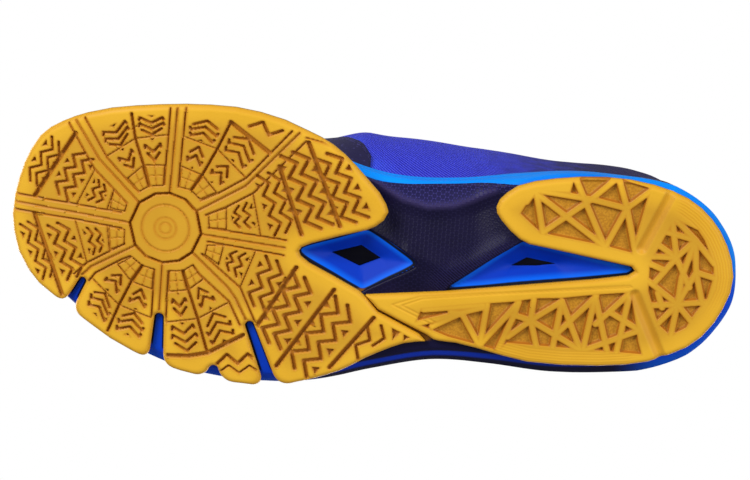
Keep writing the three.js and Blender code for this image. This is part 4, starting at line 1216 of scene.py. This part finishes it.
def eyelet_strip(side, node):
    """A band beside the lacing gap with six round holes, built upside down as a slab and turned over."""
    xs = np.linspace(-12 if side > 0 else -15, 58, 30)
    bend = THROAT_FRONT - THROAT_HALF
    round_end = np.sqrt(np.maximum(THROAT_HALF**2 - (xs - bend) ** 2, 0))
    from_ridge = np.where(xs > bend, round_end, gap_half(xs))
    near_edge, far_edge = from_ridge + 0.4, from_ridge + (10.8 + 1.0 * smoothstep(0, 20, xs))
    outline = np.concatenate([np.stack([xs, ridge_y(xs) + side * near_edge], 1),
                              np.stack([xs, ridge_y(xs) + side * far_edge], 1)[::-1]])
    holes = [(x, ridge_y(x) + side * (gap_half(x) + 6.5)) for x in EYELETS]

    def distance(x, y):
        d = outline_distance(x, y, outline)
        for hx, hy in holes:
            d = np.maximum(d, 2.1 - np.hypot(x - hx, y - hy))
        return d

    def stitches(x, y, inside):
        rivet = np.full(np.shape(x), 9.0)
        for hx, hy in holes:
            rivet = np.minimum(rivet, np.abs(np.hypot(x - hx, y - hy) - 2.9))
        return 2.55 + 0.35 * np.exp(-(rivet / 0.5) ** 2) - 0.5 * edge_round(inside, 0.9)

    bounds = ((-17, 60), tuple(sorted((ridge_y(0) + side * 4, ridge_y(0) + side * 36))))
    flat, f, edge_mm = lattice_slab(distance, bounds, 0.7 * FINE,
                                    lambda x, y, inside: -stitches(x, y, inside),
                                    [lambda x, y, nx, ny, z: (x, y, z * 0 - 1.55)], lambda x, y: 0 * x - 1.55)
    points = instep(flat[:, 0], flat[:, 1], -flat[:, 2])
    ring_mm = np.min([np.abs(np.hypot(flat[:, 0] - hx, flat[:, 1] - hy) - 2.9) for hx, hy in holes], 0)
    made = new_mesh("eyelet_strip_" + node[8:], points, [t[::-1] for t in f],
                    attributes={"rim_mm": np.clip(edge_mm, 0, 9), "ring_mm": ring_mm})
    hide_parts(node)
    return made


strips = [eyelet_strip(1, "eyestay_medial"), eyelet_strip(-1, "eyestay_lateral")]
print("eyelet strips:", [len(o.data.vertices) for o in strips], "points")

# %% [markdown]
# ## Materials
# Every finish is procedural. The effects that several finishes share are node groups: each takes a
# coordinate and gives back a mask or a height, never a shader. Groove depth is painted as brown, partly the
# gum's tone and partly painted shade, from the attributes that the surfaces were made with, so the brown in a
# groove follows the groove.

# %% Material tools
def group(name, inputs, outputs):
    """A new node group with named float, vector or colour sockets, and its two ends."""
    tree = bpy.data.node_groups.new(name, "ShaderNodeTree")
    for label, kind, value in inputs:
        socket = tree.interface.new_socket(label, in_out="INPUT", socket_type="NodeSocket" + kind)
        if value is not None:
            socket.default_value = value
    for label, kind in outputs:
        tree.interface.new_socket(label, in_out="OUTPUT", socket_type="NodeSocket" + kind)
    return tree, tree.nodes.new("NodeGroupInput"), tree.nodes.new("NodeGroupOutput")


def put(tree, kind, **settings):
    """A node, with its properties set by name."""
    node = tree.nodes.new("ShaderNode" + kind)
    for key, value in settings.items():
        setattr(node, key, value)
    return node


def feed(tree, node, **values):
    """Values or links for a node's inputs: a name or, written as i0, i1, an index."""
    for key, value in values.items():
        index = int(key[1:]) if key[0] == "i" and key[1:].isdigit() else key.replace("_", " ")
        socket = node.inputs[index]
        if isinstance(value, bpy.types.NodeSocket):
            tree.links.new(value, socket)
        else:
            socket.default_value = value
    return node


def maths(tree, operation, a, b=None, c=None):
    """One step of arithmetic on one, two or three values."""
    node = put(tree, "Math", operation=operation)
    feed(tree, node, **{f"i{k}": v for k, v in enumerate((a, b, c)) if v is not None})
    return node.outputs[0]


def times(tree, a, b):
    """a times b."""
    return maths(tree, "MULTIPLY", a, b)


def ramp(tree, value, low, high, to_low=0.0, to_high=1.0):
    """A smooth step from to_low, where the value is low, to to_high, where it is high."""
    node = put(tree, "MapRange", interpolation_type="SMOOTHSTEP")
    feed(tree, node, i0=value, i1=low, i2=high, i3=to_low, i4=to_high)
    return node.outputs[0]


def mix(tree, share, a, b):
    """Colour a turning into colour b."""
    node = put(tree, "Mix", data_type="RGBA")
    colour = lambda c: (*c, 1.0) if isinstance(c, tuple) and len(c) == 3 else c
    feed(tree, node, i0=share, i6=colour(a), i7=colour(b))
    return node.outputs[2]


def axes(tree, vector):
    """The x, y and z of a vector."""
    node = put(tree, "SeparateXYZ")
    tree.links.new(vector, node.inputs[0])
    return node.outputs


def noise(tree, vector, scale, detail=2.0, roughness=0.5):
    """Soft random values from 0 to 1."""
    node = put(tree, "TexNoise")
    feed(tree, node, Vector=vector, Scale=scale, Detail=detail, Roughness=roughness)
    return node.outputs[0]


# %% Shared node groups
FULL_TURN = 6.2832


def make_grain():
    """Fine moulding grain over slow blotches: a height for bump, a tone for colour."""
    tree, start, end = group("grain", [("Vector", "Vector", None), ("Fine", "Float", 900.0),
                                       ("Broad", "Float", 24.0)],
                             [("Height", "Float"), ("Tone", "Float")])
    fine = noise(tree, start.outputs["Vector"], start.outputs["Fine"], 3.0, 0.6)
    broad = noise(tree, start.outputs["Vector"], start.outputs["Broad"], 3.0, 0.55)
    tree.links.new(fine, end.inputs["Height"])
    tree.links.new(ramp(tree, broad, 0.32, 0.68), end.inputs["Tone"])
    return tree


def make_weave():
    """Over and under threads: two sine waves at right angles, each hidden where the other is on top."""
    tree, start, end = group("weave", [("Vector", "Vector", None), ("Across", "Float", 900.0),
                                       ("Along", "Float", 900.0)],
                             [("Height", "Float")])
    x, y, _ = axes(tree, start.outputs["Vector"])
    u = maths(tree, "SINE", times(tree, x, start.outputs["Across"]))
    v = maths(tree, "SINE", times(tree, y, start.outputs["Along"]))
    both = times(tree, u, v)
    tree.links.new(maths(tree, "MULTIPLY_ADD", both, 0.5, 0.5), end.inputs["Height"])
    return tree


def make_stripes():
    """Thin slanted lines: a sine wave across the slant, cut sharp."""
    tree, start, end = group("stripes", [("Vector", "Vector", None), ("Pitch", "Float", 0.0014),
                                         ("Slant", "Float", 0.6)],
                             [("Mask", "Float"), ("Height", "Float")])
    x, y, _ = axes(tree, start.outputs["Vector"])
    across = maths(tree, "MULTIPLY_ADD", y, start.outputs["Slant"], x)
    wave = maths(tree, "SINE", maths(tree, "DIVIDE", times(tree, across, FULL_TURN), start.outputs["Pitch"]))
    tree.links.new(ramp(tree, wave, 0.1, 0.8), end.inputs["Mask"])
    tree.links.new(maths(tree, "MULTIPLY_ADD", wave, 0.5, 0.5), end.inputs["Height"])
    return tree


def make_hexagons():
    """A honeycomb: the largest of three sine waves turned by a third of a turn from each other."""
    tree, start, end = group("hexagons", [("Vector", "Vector", None), ("Pitch", "Float", 0.003)],
                             [("Wall", "Float")])
    x, y, _ = axes(tree, start.outputs["Vector"])
    waves = []
    for turn in (0.0, FULL_TURN / 3, FULL_TURN * 2 / 3):
        along = maths(tree, "ADD", times(tree, x, float(np.cos(turn))),
                      times(tree, y, float(np.sin(turn))))
        angle = maths(tree, "DIVIDE", times(tree, along, FULL_TURN), start.outputs["Pitch"])
        waves.append(maths(tree, "COSINE", angle))
    total = maths(tree, "ADD", maths(tree, "ADD", waves[0], waves[1]), waves[2])
    tree.links.new(ramp(tree, total, -1.5, -0.6, 1.0, 0.0), end.inputs["Wall"])
    return tree


def make_speckle():
    """Sparse small flecks: the middles of a few cells of a Voronoi pattern."""
    tree, start, end = group("speckle", [("Vector", "Vector", None), ("Scale", "Float", 500.0)],
                             [("Mask", "Float")])
    cells = put(tree, "TexVoronoi")
    feed(tree, cells, Vector=start.outputs["Vector"], Scale=start.outputs["Scale"])
    pick = put(tree, "SeparateColor")
    tree.links.new(cells.outputs["Color"], pick.inputs[0])
    few = maths(tree, "GREATER_THAN", pick.outputs[0], 0.62)
    middle = ramp(tree, cells.outputs["Distance"], 0.12, 0.4, 1.0, 0.0)
    tree.links.new(times(tree, few, middle), end.inputs["Mask"])
    return tree


GRAIN, WEAVE, STRIPES = make_grain(), make_weave(), make_stripes()
HEXAGONS, SPECKLE = make_hexagons(), make_speckle()
print(len(bpy.data.node_groups), "node groups")


# %% [markdown]
# A finish is a function that gets an empty material and its Principled node. It sets the constant sockets
# directly and links the rest.

# %% Finishes
class Finish:
    """One material with its tree, its Principled node and short ways to reach coordinates and attributes."""

    def __init__(self, name, roughness, specular):
        self.material = bpy.data.materials.new(name)
        self.material.use_nodes = True
        self.tree = self.material.node_tree
        self.shader = self.tree.nodes["Principled BSDF"]
        self.shader.inputs["Roughness"].default_value = roughness
        self.shader.inputs["Specular IOR Level"].default_value = specular
        self.coord = put(self.tree, "TexCoord")
        self.object, self.uv = self.coord.outputs["Object"], self.coord.outputs["UV"]

    def attribute(self, name):
        return put(self.tree, "Attribute", attribute_name=name).outputs["Fac"]

    def use(self, shared, **values):
        node = put(self.tree, "Group", node_tree=shared)
        return feed(self.tree, node, **values)

    def colour(self, socket):
        self.tree.links.new(socket, self.shader.inputs["Base Color"])

    def fade(self, name, low, high, to_low=0.0, to_high=1.0):
        return ramp(self.tree, self.attribute(name), low, high, to_low, to_high)

    def bump(self, height, distance):
        node = put(self.tree, "Bump")
        feed(self.tree, node, Height=height, Distance=distance, Strength=1.0)
        self.tree.links.new(node.outputs[0], self.shader.inputs["Normal"])


def gum(name, pockets=False):
    """Gum rubber: brown inside a cut by the distance from its edge, part gum tone and part painted shade, and
    painted shade beside a cut's wall.
    """
    f = Finish(name, roughness=0.5, specular=0.22)
    t = f.tree
    grain = f.use(GRAIN, Vector=f.object, Fine=1500.0, Broad=22.0)
    face = mix(t, grain.outputs["Tone"], (0.72, 0.385, 0.018), (0.78, 0.43, 0.026))
    # Painted shade: the grooved middle is painted a shade browner than the smooth outer band, which is the
    # brightest.
    shaded_middle = mix(t, grain.outputs["Tone"], (0.54, 0.27, 0.016), (0.61, 0.315, 0.020))
    face = mix(t, f.fade("edge_mm", 3.0, 11.0, 0.0, 0.85), face, shaded_middle)
    cut = f.attribute("cut_mm")
    rim = f.fade("edge_mm", 0.4, 1.6)
    # Painted shade: the face is browned just beside a cut's edge, and where it is recessed, in a shallow
    # groove or at the rounded rim.
    near = times(t, ramp(t, cut, -0.9, 0.0, 0.0, 0.45), rim)
    shaded_face = mix(t, near, face, (0.50, 0.19, 0.008))
    shaded_face = mix(t, times(t, f.fade("groove_mm", 0.03, 0.4), 0.35), shaded_face, (0.55, 0.23, 0.01))
    if pockets:
        # Painted shade in the pockets, partly the gum's own tone: their floors are browner than the face and
        # their walls darker still, and the fine rim ribs take the same brown in their hollows.
        rough = noise(t, f.object, 1400.0, 1.0)
        floor = mix(t, ramp(t, rough, 0.35, 0.68), (0.43, 0.185, 0.011), (0.55, 0.255, 0.016))
        wall = mix(t, ramp(t, cut, 0.4, 1.1), (0.40, 0.13, 0.007), floor)
        inside = ramp(t, cut, 0.0, 0.22)
        colour = mix(t, times(t, f.attribute("lines"), 0.35), mix(t, inside, shaded_face, wall), (0.55, 0.22, 0.01))
    else:
        # Inside a cut the brown darkens with depth: partly the gum's own deeper tone, partly painted shade.
        depth = f.fade("groove_mm", 0.3, 1.3)
        deep = mix(t, depth, (0.56, 0.24, 0.012), (0.43, 0.160, 0.009))
        colour = mix(t, times(t, ramp(t, cut, -0.04, 0.16), rim), shaded_face, deep)
    f.colour(colour)
    f.bump(grain.outputs["Height"], 0.00006)
    return f.material


def foam(name):
    """Azure foam: royal blue as painted shade underneath and in the windows, with a painted shadow line where
    the rubber meets it.
    """
    f = Finish(name, roughness=0.55, specular=0.12)
    t = f.tree
    grain = f.use(GRAIN, Vector=f.object, Fine=1100.0, Broad=30.0)
    side = mix(t, grain.outputs["Tone"], (0.0, 0.235, 0.88), (0.0, 0.27, 0.98))
    shaded_blue = mix(t, grain.outputs["Tone"], (0.001, 0.035, 0.52), (0.001, 0.055, 0.64))
    # Painted light: the side is the lit azure and the underside the royal blue of painted shade; the azure
    # starts lower down on the inner side.
    lit = maths(t, "MULTIPLY_ADD", f.attribute("inner"), 0.16, f.attribute("above"))
    colour = mix(t, ramp(t, lit, 0.16, 0.42), shaded_blue, side)
    # Outer waist: a navy side with one thin azure line left near the rubber.
    outer = maths(t, "SUBTRACT", 1.0, f.attribute("inner"))
    band = times(t, outer, f.attribute("waist"))
    stripe = times(t, f.fade("above", 0.165, 0.18), f.fade("above", 0.20, 0.22, 1.0, 0.0))
    colour = mix(t, band, colour, mix(t, stripe, (0.006, 0.005, 0.032), (0.003, 0.03, 0.42)))
    # Painted light in the windows: a lighter blue by the mouth as a painted highlight, darker deeper in as
    # painted shade.
    window = maths(t, "GREATER_THAN", f.attribute("window"), 0.004)
    wall = mix(t, f.fade("mouth", 0.6, 3.2), (0.0, 0.12, 0.80), (0.0, 0.035, 0.46))
    colour = mix(t, window, colour, wall)
    # Painted shadow: a dark line round each window's mouth, and beside the tread's edge where the foam shows.
    line = times(t, f.fade("mouth", -0.7, -0.3), f.fade("mouth", 0.3, 0.8, 1.0, 0.0))
    gap = times(t, f.fade("tread_gap", 0.5, 1.0, 1.0, 0.0), maths(t, "SUBTRACT", 1.0, f.attribute("rim")))
    dark = maths(t, "MAXIMUM", line, gap)
    # Where the two pads part, the foam is painted the brown of gum in a shaded groove; the other lines are a
    # near-black painted shadow.
    edge = mix(t, f.attribute("seam"), (0.002, 0.003, 0.012), (0.20, 0.075, 0.006))
    f.colour(mix(t, maths(t, "MAXIMUM", dark, f.attribute("seam")), colour, edge))
    f.bump(grain.outputs["Height"], 0.00008)
    return f.material


def plate(name):
    """Dark navy plastic with a moulded honeycomb on the flank and fine ribs by the rear window; the flank is
    painted lighter, as lit, and the ridge has a painted highlight.
    """
    f = Finish(name, roughness=0.42, specular=0.14)
    t = f.tree
    grain = f.use(GRAIN, Vector=f.object, Fine=1300.0, Broad=40.0)
    comb = f.use(HEXAGONS, Vector=f.object, Pitch=0.0017)
    wall = times(t, comb.outputs["Wall"], maths(t, "MULTIPLY_ADD", f.attribute("flank"), 0.75, 0.25))
    ribs = f.use(STRIPES, Vector=f.object, Pitch=0.0016, Slant=-1.3)
    rib = times(t, ribs.outputs["Mask"], f.attribute("ribbed"))
    base = mix(t, grain.outputs["Tone"], (0.003, 0.002, 0.017), (0.006, 0.004, 0.028))
    # Painted light: the flank above the ridge, and its raised walls, are painted lighter than the lower face.
    base = mix(t, f.attribute("flank"), base, (0.012, 0.010, 0.062))
    # Painted highlight along the ridge.
    base = mix(t, times(t, f.attribute("ridge_highlight"), 0.55), base, (0.060, 0.045, 0.15))
    raised = mix(t, f.attribute("flank"), (0.016, 0.013, 0.075), (0.040, 0.034, 0.18))
    f.colour(mix(t, maths(t, "MAXIMUM", wall, rib), base, raised))
    f.bump(maths(t, "ADD", maths(t, "MAXIMUM", wall, rib), times(t, grain.outputs["Height"], 0.25)), 0.00025)
    return f.material


def mesh_cloth(name):
    """Violet mesh printed with thin slanted lines, fading to dark navy at the heel and under the eyelets."""
    f = Finish(name, roughness=0.5, specular=0.15)
    t = f.tree
    lines = f.use(STRIPES, Vector=f.uv, Pitch=0.017, Slant=0.9)
    cloth = f.use(WEAVE, Vector=f.uv, Across=950.0, Along=950.0)
    x = axes(t, f.object)[0]
    base = mix(t, noise(t, f.object, 30.0), (0.014, 0.012, 0.40), (0.030, 0.030, 0.68))
    # The print is lighter and bluer in soft patches towards the front.
    patch = times(t, ramp(t, noise(t, f.object, 26.0), 0.42, 0.58), ramp(t, x, -0.012, 0.012))
    base = mix(t, patch, base, (0.028, 0.080, 0.86))
    colour = mix(t, times(t, lines.outputs["Mask"], 0.75), base, (0.10, 0.14, 1.0))
    heel = ramp(t, maths(t, "ADD", x, times(t, noise(t, f.object, 160.0), 0.05)), -0.070, -0.012, 1.0, 0.0)
    navy = mix(t, cloth.outputs["Height"], (0.008, 0.006, 0.05), (0.022, 0.016, 0.13))
    f.colour(mix(t, heel, colour, navy))
    f.bump(maths(t, "ADD", cloth.outputs["Height"], times(t, lines.outputs["Height"], 0.7)), 0.00022)
    return f.material


def leather(name, margins):
    """Synthetic leather: grain, flecks, and a line of stitches at each margin from the rim, in mm."""
    f = Finish(name, roughness=0.45, specular=0.16)
    t = f.tree
    grain = f.use(GRAIN, Vector=f.object, Fine=800.0, Broad=36.0)
    dots = f.use(SPECKLE, Vector=f.object, Scale=620.0)
    colour = mix(t, grain.outputs["Tone"], (0.010, 0.008, 0.040), (0.015, 0.012, 0.060))
    colour = mix(t, times(t, dots.outputs["Mask"], 0.8), colour, (0.05, 0.045, 0.17))
    x = axes(t, f.uv)[0]
    rim = f.attribute("rim_mm")
    thread = 0.0
    for margin in margins:
        near = ramp(t, maths(t, "ABSOLUTE", maths(t, "SUBTRACT", rim, margin)), 0.15, 0.42, 1.0, 0.0)
        thread = maths(t, "MAXIMUM", thread, near)
    # One UV unit is a tenth of a metre, so a wave 0.024 long puts a stitch every 2.4 mm.
    beat = ramp(t, maths(t, "SINE", times(t, x, FULL_TURN / 0.024)), -0.75, -0.45)
    thread = times(t, thread, beat)
    colour = mix(t, thread, colour, (0.06, 0.05, 0.22))
    height = maths(t, "ADD", grain.outputs["Height"], times(t, thread, 4.0))
    f.colour(colour)
    f.bump(height, 0.00012)
    return f.material


def cloth(name, dark, light):
    """Woven lining or board: a weave over two close tones."""
    f = Finish(name, roughness=0.85, specular=0.2)
    t = f.tree
    threads = f.use(WEAVE, Vector=f.object, Across=2600.0, Along=2600.0)
    grain = f.use(GRAIN, Vector=f.object, Fine=700.0, Broad=30.0)
    f.colour(mix(t, threads.outputs["Height"], mix(t, grain.outputs["Tone"], dark, light), light))
    f.bump(threads.outputs["Height"], 0.00015)
    return f.material


def padded_cloth(name):
    """Knitted navy cover of the collar and the tongue: a close weave with flecks, and a sewn hem line."""
    f = Finish(name, roughness=0.8, specular=0.12)
    t = f.tree
    knit = f.use(WEAVE, Vector=f.uv, Across=620.0, Along=620.0)
    dots = f.use(SPECKLE, Vector=f.object, Scale=420.0)
    hem = times(t, f.fade("rim_mm", 3.8, 4.1), f.fade("rim_mm", 4.3, 4.6, 1.0, 0.0))
    base = mix(t, knit.outputs["Height"], (0.008, 0.007, 0.040), (0.026, 0.022, 0.120))
    base = mix(t, times(t, dots.outputs["Mask"], 0.5), base, (0.05, 0.05, 0.24))
    f.colour(mix(t, hem, base, (0.05, 0.05, 0.26)))
    f.bump(knit.outputs["Height"], 0.0002)
    return f.material


def eyelet_leather(name):
    """The overlay leather again, with a stitch line round the strip and a painted ring round each eyelet."""
    material = leather(name, margins=(2.4,))
    tree = material.node_tree
    shader = tree.nodes["Principled BSDF"]
    before = shader.inputs["Base Color"].links[0].from_socket
    ring = ramp(tree, put(tree, "Attribute", attribute_name="ring_mm").outputs["Fac"], 0.35, 0.75, 1.0, 0.0)
    tree.links.new(mix(tree, ring, before, (0.0, 0.16, 0.75)), shader.inputs["Base Color"])
    return material


def plain(name, dark, light, roughness=0.5, specular=0.3):
    """A moulded piece: two close tones and a fine grain."""
    f = Finish(name, roughness=roughness, specular=specular)
    grain = f.use(GRAIN, Vector=f.object, Fine=1200.0, Broad=40.0)
    f.colour(mix(f.tree, grain.outputs["Tone"], dark, light))
    f.bump(grain.outputs["Height"], 0.00008)
    return f.material


def paint(material, *objects):
    """Gives one material to each object."""
    for obj in objects:
        obj.data.materials.clear()
        obj.data.materials.append(material)


paint(gum("gum_rubber"), tread_forefoot)
paint(gum("gum_rubber_pockets", pockets=True), tread_rearfoot)
paint(foam("azure_foam"), midsole)
paint(plate("navy_plastic"), shank)
paint(plain("black_rubber", (0.001, 0.001, 0.003), (0.003, 0.003, 0.007), 0.8, 0.06),
      window_floor_front, window_floor_rear)
paint(mesh_cloth("violet_mesh"), upper)
overlay_leather = leather("navy_leather", margins=(2.2, 4.0))
paint(overlay_leather, toe_overlay, heel_overlay)
paint(cloth("board_fabric", (0.30, 0.28, 0.24), (0.42, 0.40, 0.35)), nodes["strobel_board"])
paint(plain("stiffener_plastic", (0.30, 0.29, 0.27), (0.38, 0.37, 0.34)),
      nodes["heel_counter"], nodes["toe_puff"])
lining = cloth("lining_fabric", (0.006, 0.006, 0.03), (0.03, 0.03, 0.10))
paint(lining, nodes["foot_lining"], nodes["sockliner"])
paint(padded_cloth("padding_foam"), collar, tongue)
paint(eyelet_leather("navy_leather_eyelets"), *strips)
print(len(bpy.data.materials), "materials")

# %% [markdown]
# ## Camera, lights and floor
# The camera looks up at the sole from a little to the inner side, from a metre away, so the depth of the
# tread shows and the upper just clears the rubber. The floor is pale and seen only from above.

# %% Camera
TILT, ROLL = np.radians(15), np.radians(5)
back = np.array([0, np.sin(TILT), -np.cos(TILT)])
level_right, level_up = np.array([-1.0, 0, 0]), np.array([0, np.cos(TILT), np.sin(TILT)])
right = np.cos(ROLL) * level_right + np.sin(ROLL) * level_up
up = -np.sin(ROLL) * level_right + np.cos(ROLL) * level_up
DISTANCE, RAISE = 1050.0, 2.825   # from the frame's origin, and up from there, in millimetres
VIEW_WIDTH = 302.663              # how much of the shoe's plane the frame shows
eye = metres(DISTANCE * back + RAISE * up)
camera = bpy.data.objects.new("camera", bpy.data.cameras.new("camera"))
bpy.context.scene.collection.objects.link(camera)
rows = [[*map(float, axes), float(place)] for axes, place in zip(np.stack([right, up, back], 1), eye)]
camera.matrix_world = Matrix(rows + [[0, 0, 0, 1]])
camera.data.sensor_width = 36
camera.data.lens = camera.data.sensor_width * DISTANCE / VIEW_WIDTH
camera.data.clip_end = 20
bpy.context.scene.camera = camera

# %% Light
world = bpy.data.worlds.new("studio")
bpy.context.scene.world = world
world.use_nodes = True
sky = world.node_tree
background = sky.nodes["Background"]
feed(sky, background, Color=(1, 1, 1, 1))
path = put(sky, "LightPath")
seen = put(sky, "Mix", data_type="FLOAT")
feed(sky, seen, i0=path.outputs["Is Camera Ray"], i2=0.36, i3=1.0)
sky.links.new(seen.outputs[0], background.inputs["Strength"])


def area_light(name, place, target, size, power):
    """A square lamp at a place, turned to face a target."""
    data = bpy.data.lights.new(name, "AREA")
    data.size = size
    data.energy = power
    lamp = bpy.data.objects.new(name, data)
    bpy.context.scene.collection.objects.link(lamp)
    direction = Vector(target) - Vector(place)
    lamp.matrix_world = Matrix.Translation(place) @ direction.to_track_quat("-Z", "Y").to_matrix().to_4x4()


area_light("key_below", (0.75, 0.75, -0.75), (0, 0, 0), 0.5, 14)
area_light("heel_below", (-0.85, 0.35, -0.6), (-0.1, 0, 0), 0.5, 6)
area_light("fill_above", (-0.5, -0.9, 1.3), (0, 0, 0.05), 1.0, 14)
area_light("key_above", (0.8, -0.3, 1.1), (0, 0, 0.05), 0.8, 14)
bpy.context.scene.view_settings.view_transform = "Standard"

# %% Floor
size = 3.0
floor_mesh = bpy.data.meshes.new("floor")
corners = [(-size, -size, 0), (size, -size, 0), (size, size, 0), (-size, size, 0)]
floor_mesh.from_pydata(corners, [], [(0, 1, 2, 3)])
floor = bpy.data.objects.new("floor", floor_mesh)
bpy.context.scene.collection.objects.link(floor)
floor_finish = Finish("pale_floor", roughness=0.7, specular=0.2)
tone = floor_finish.use(GRAIN, Vector=floor_finish.object, Fine=60.0, Broad=3.0)
floor_finish.colour(mix(floor_finish.tree, tone.outputs["Tone"], (0.80, 0.80, 0.80), (0.84, 0.84, 0.84)))
# From below the floor is clear, so the camera under it sees the sole.
clear = put(floor_finish.tree, "BsdfTransparent")
side = put(floor_finish.tree, "NewGeometry")
choose = put(floor_finish.tree, "MixShader")
feed(floor_finish.tree, choose, i0=side.outputs["Backfacing"], i1=floor_finish.shader.outputs[0],
     i2=clear.outputs[0])
floor_finish.tree.links.new(choose.outputs[0], floor_finish.tree.nodes["Material Output"].inputs["Surface"])
paint(floor_finish.material, floor)
floor.visible_diffuse = floor.visible_glossy = floor.visible_shadow = False
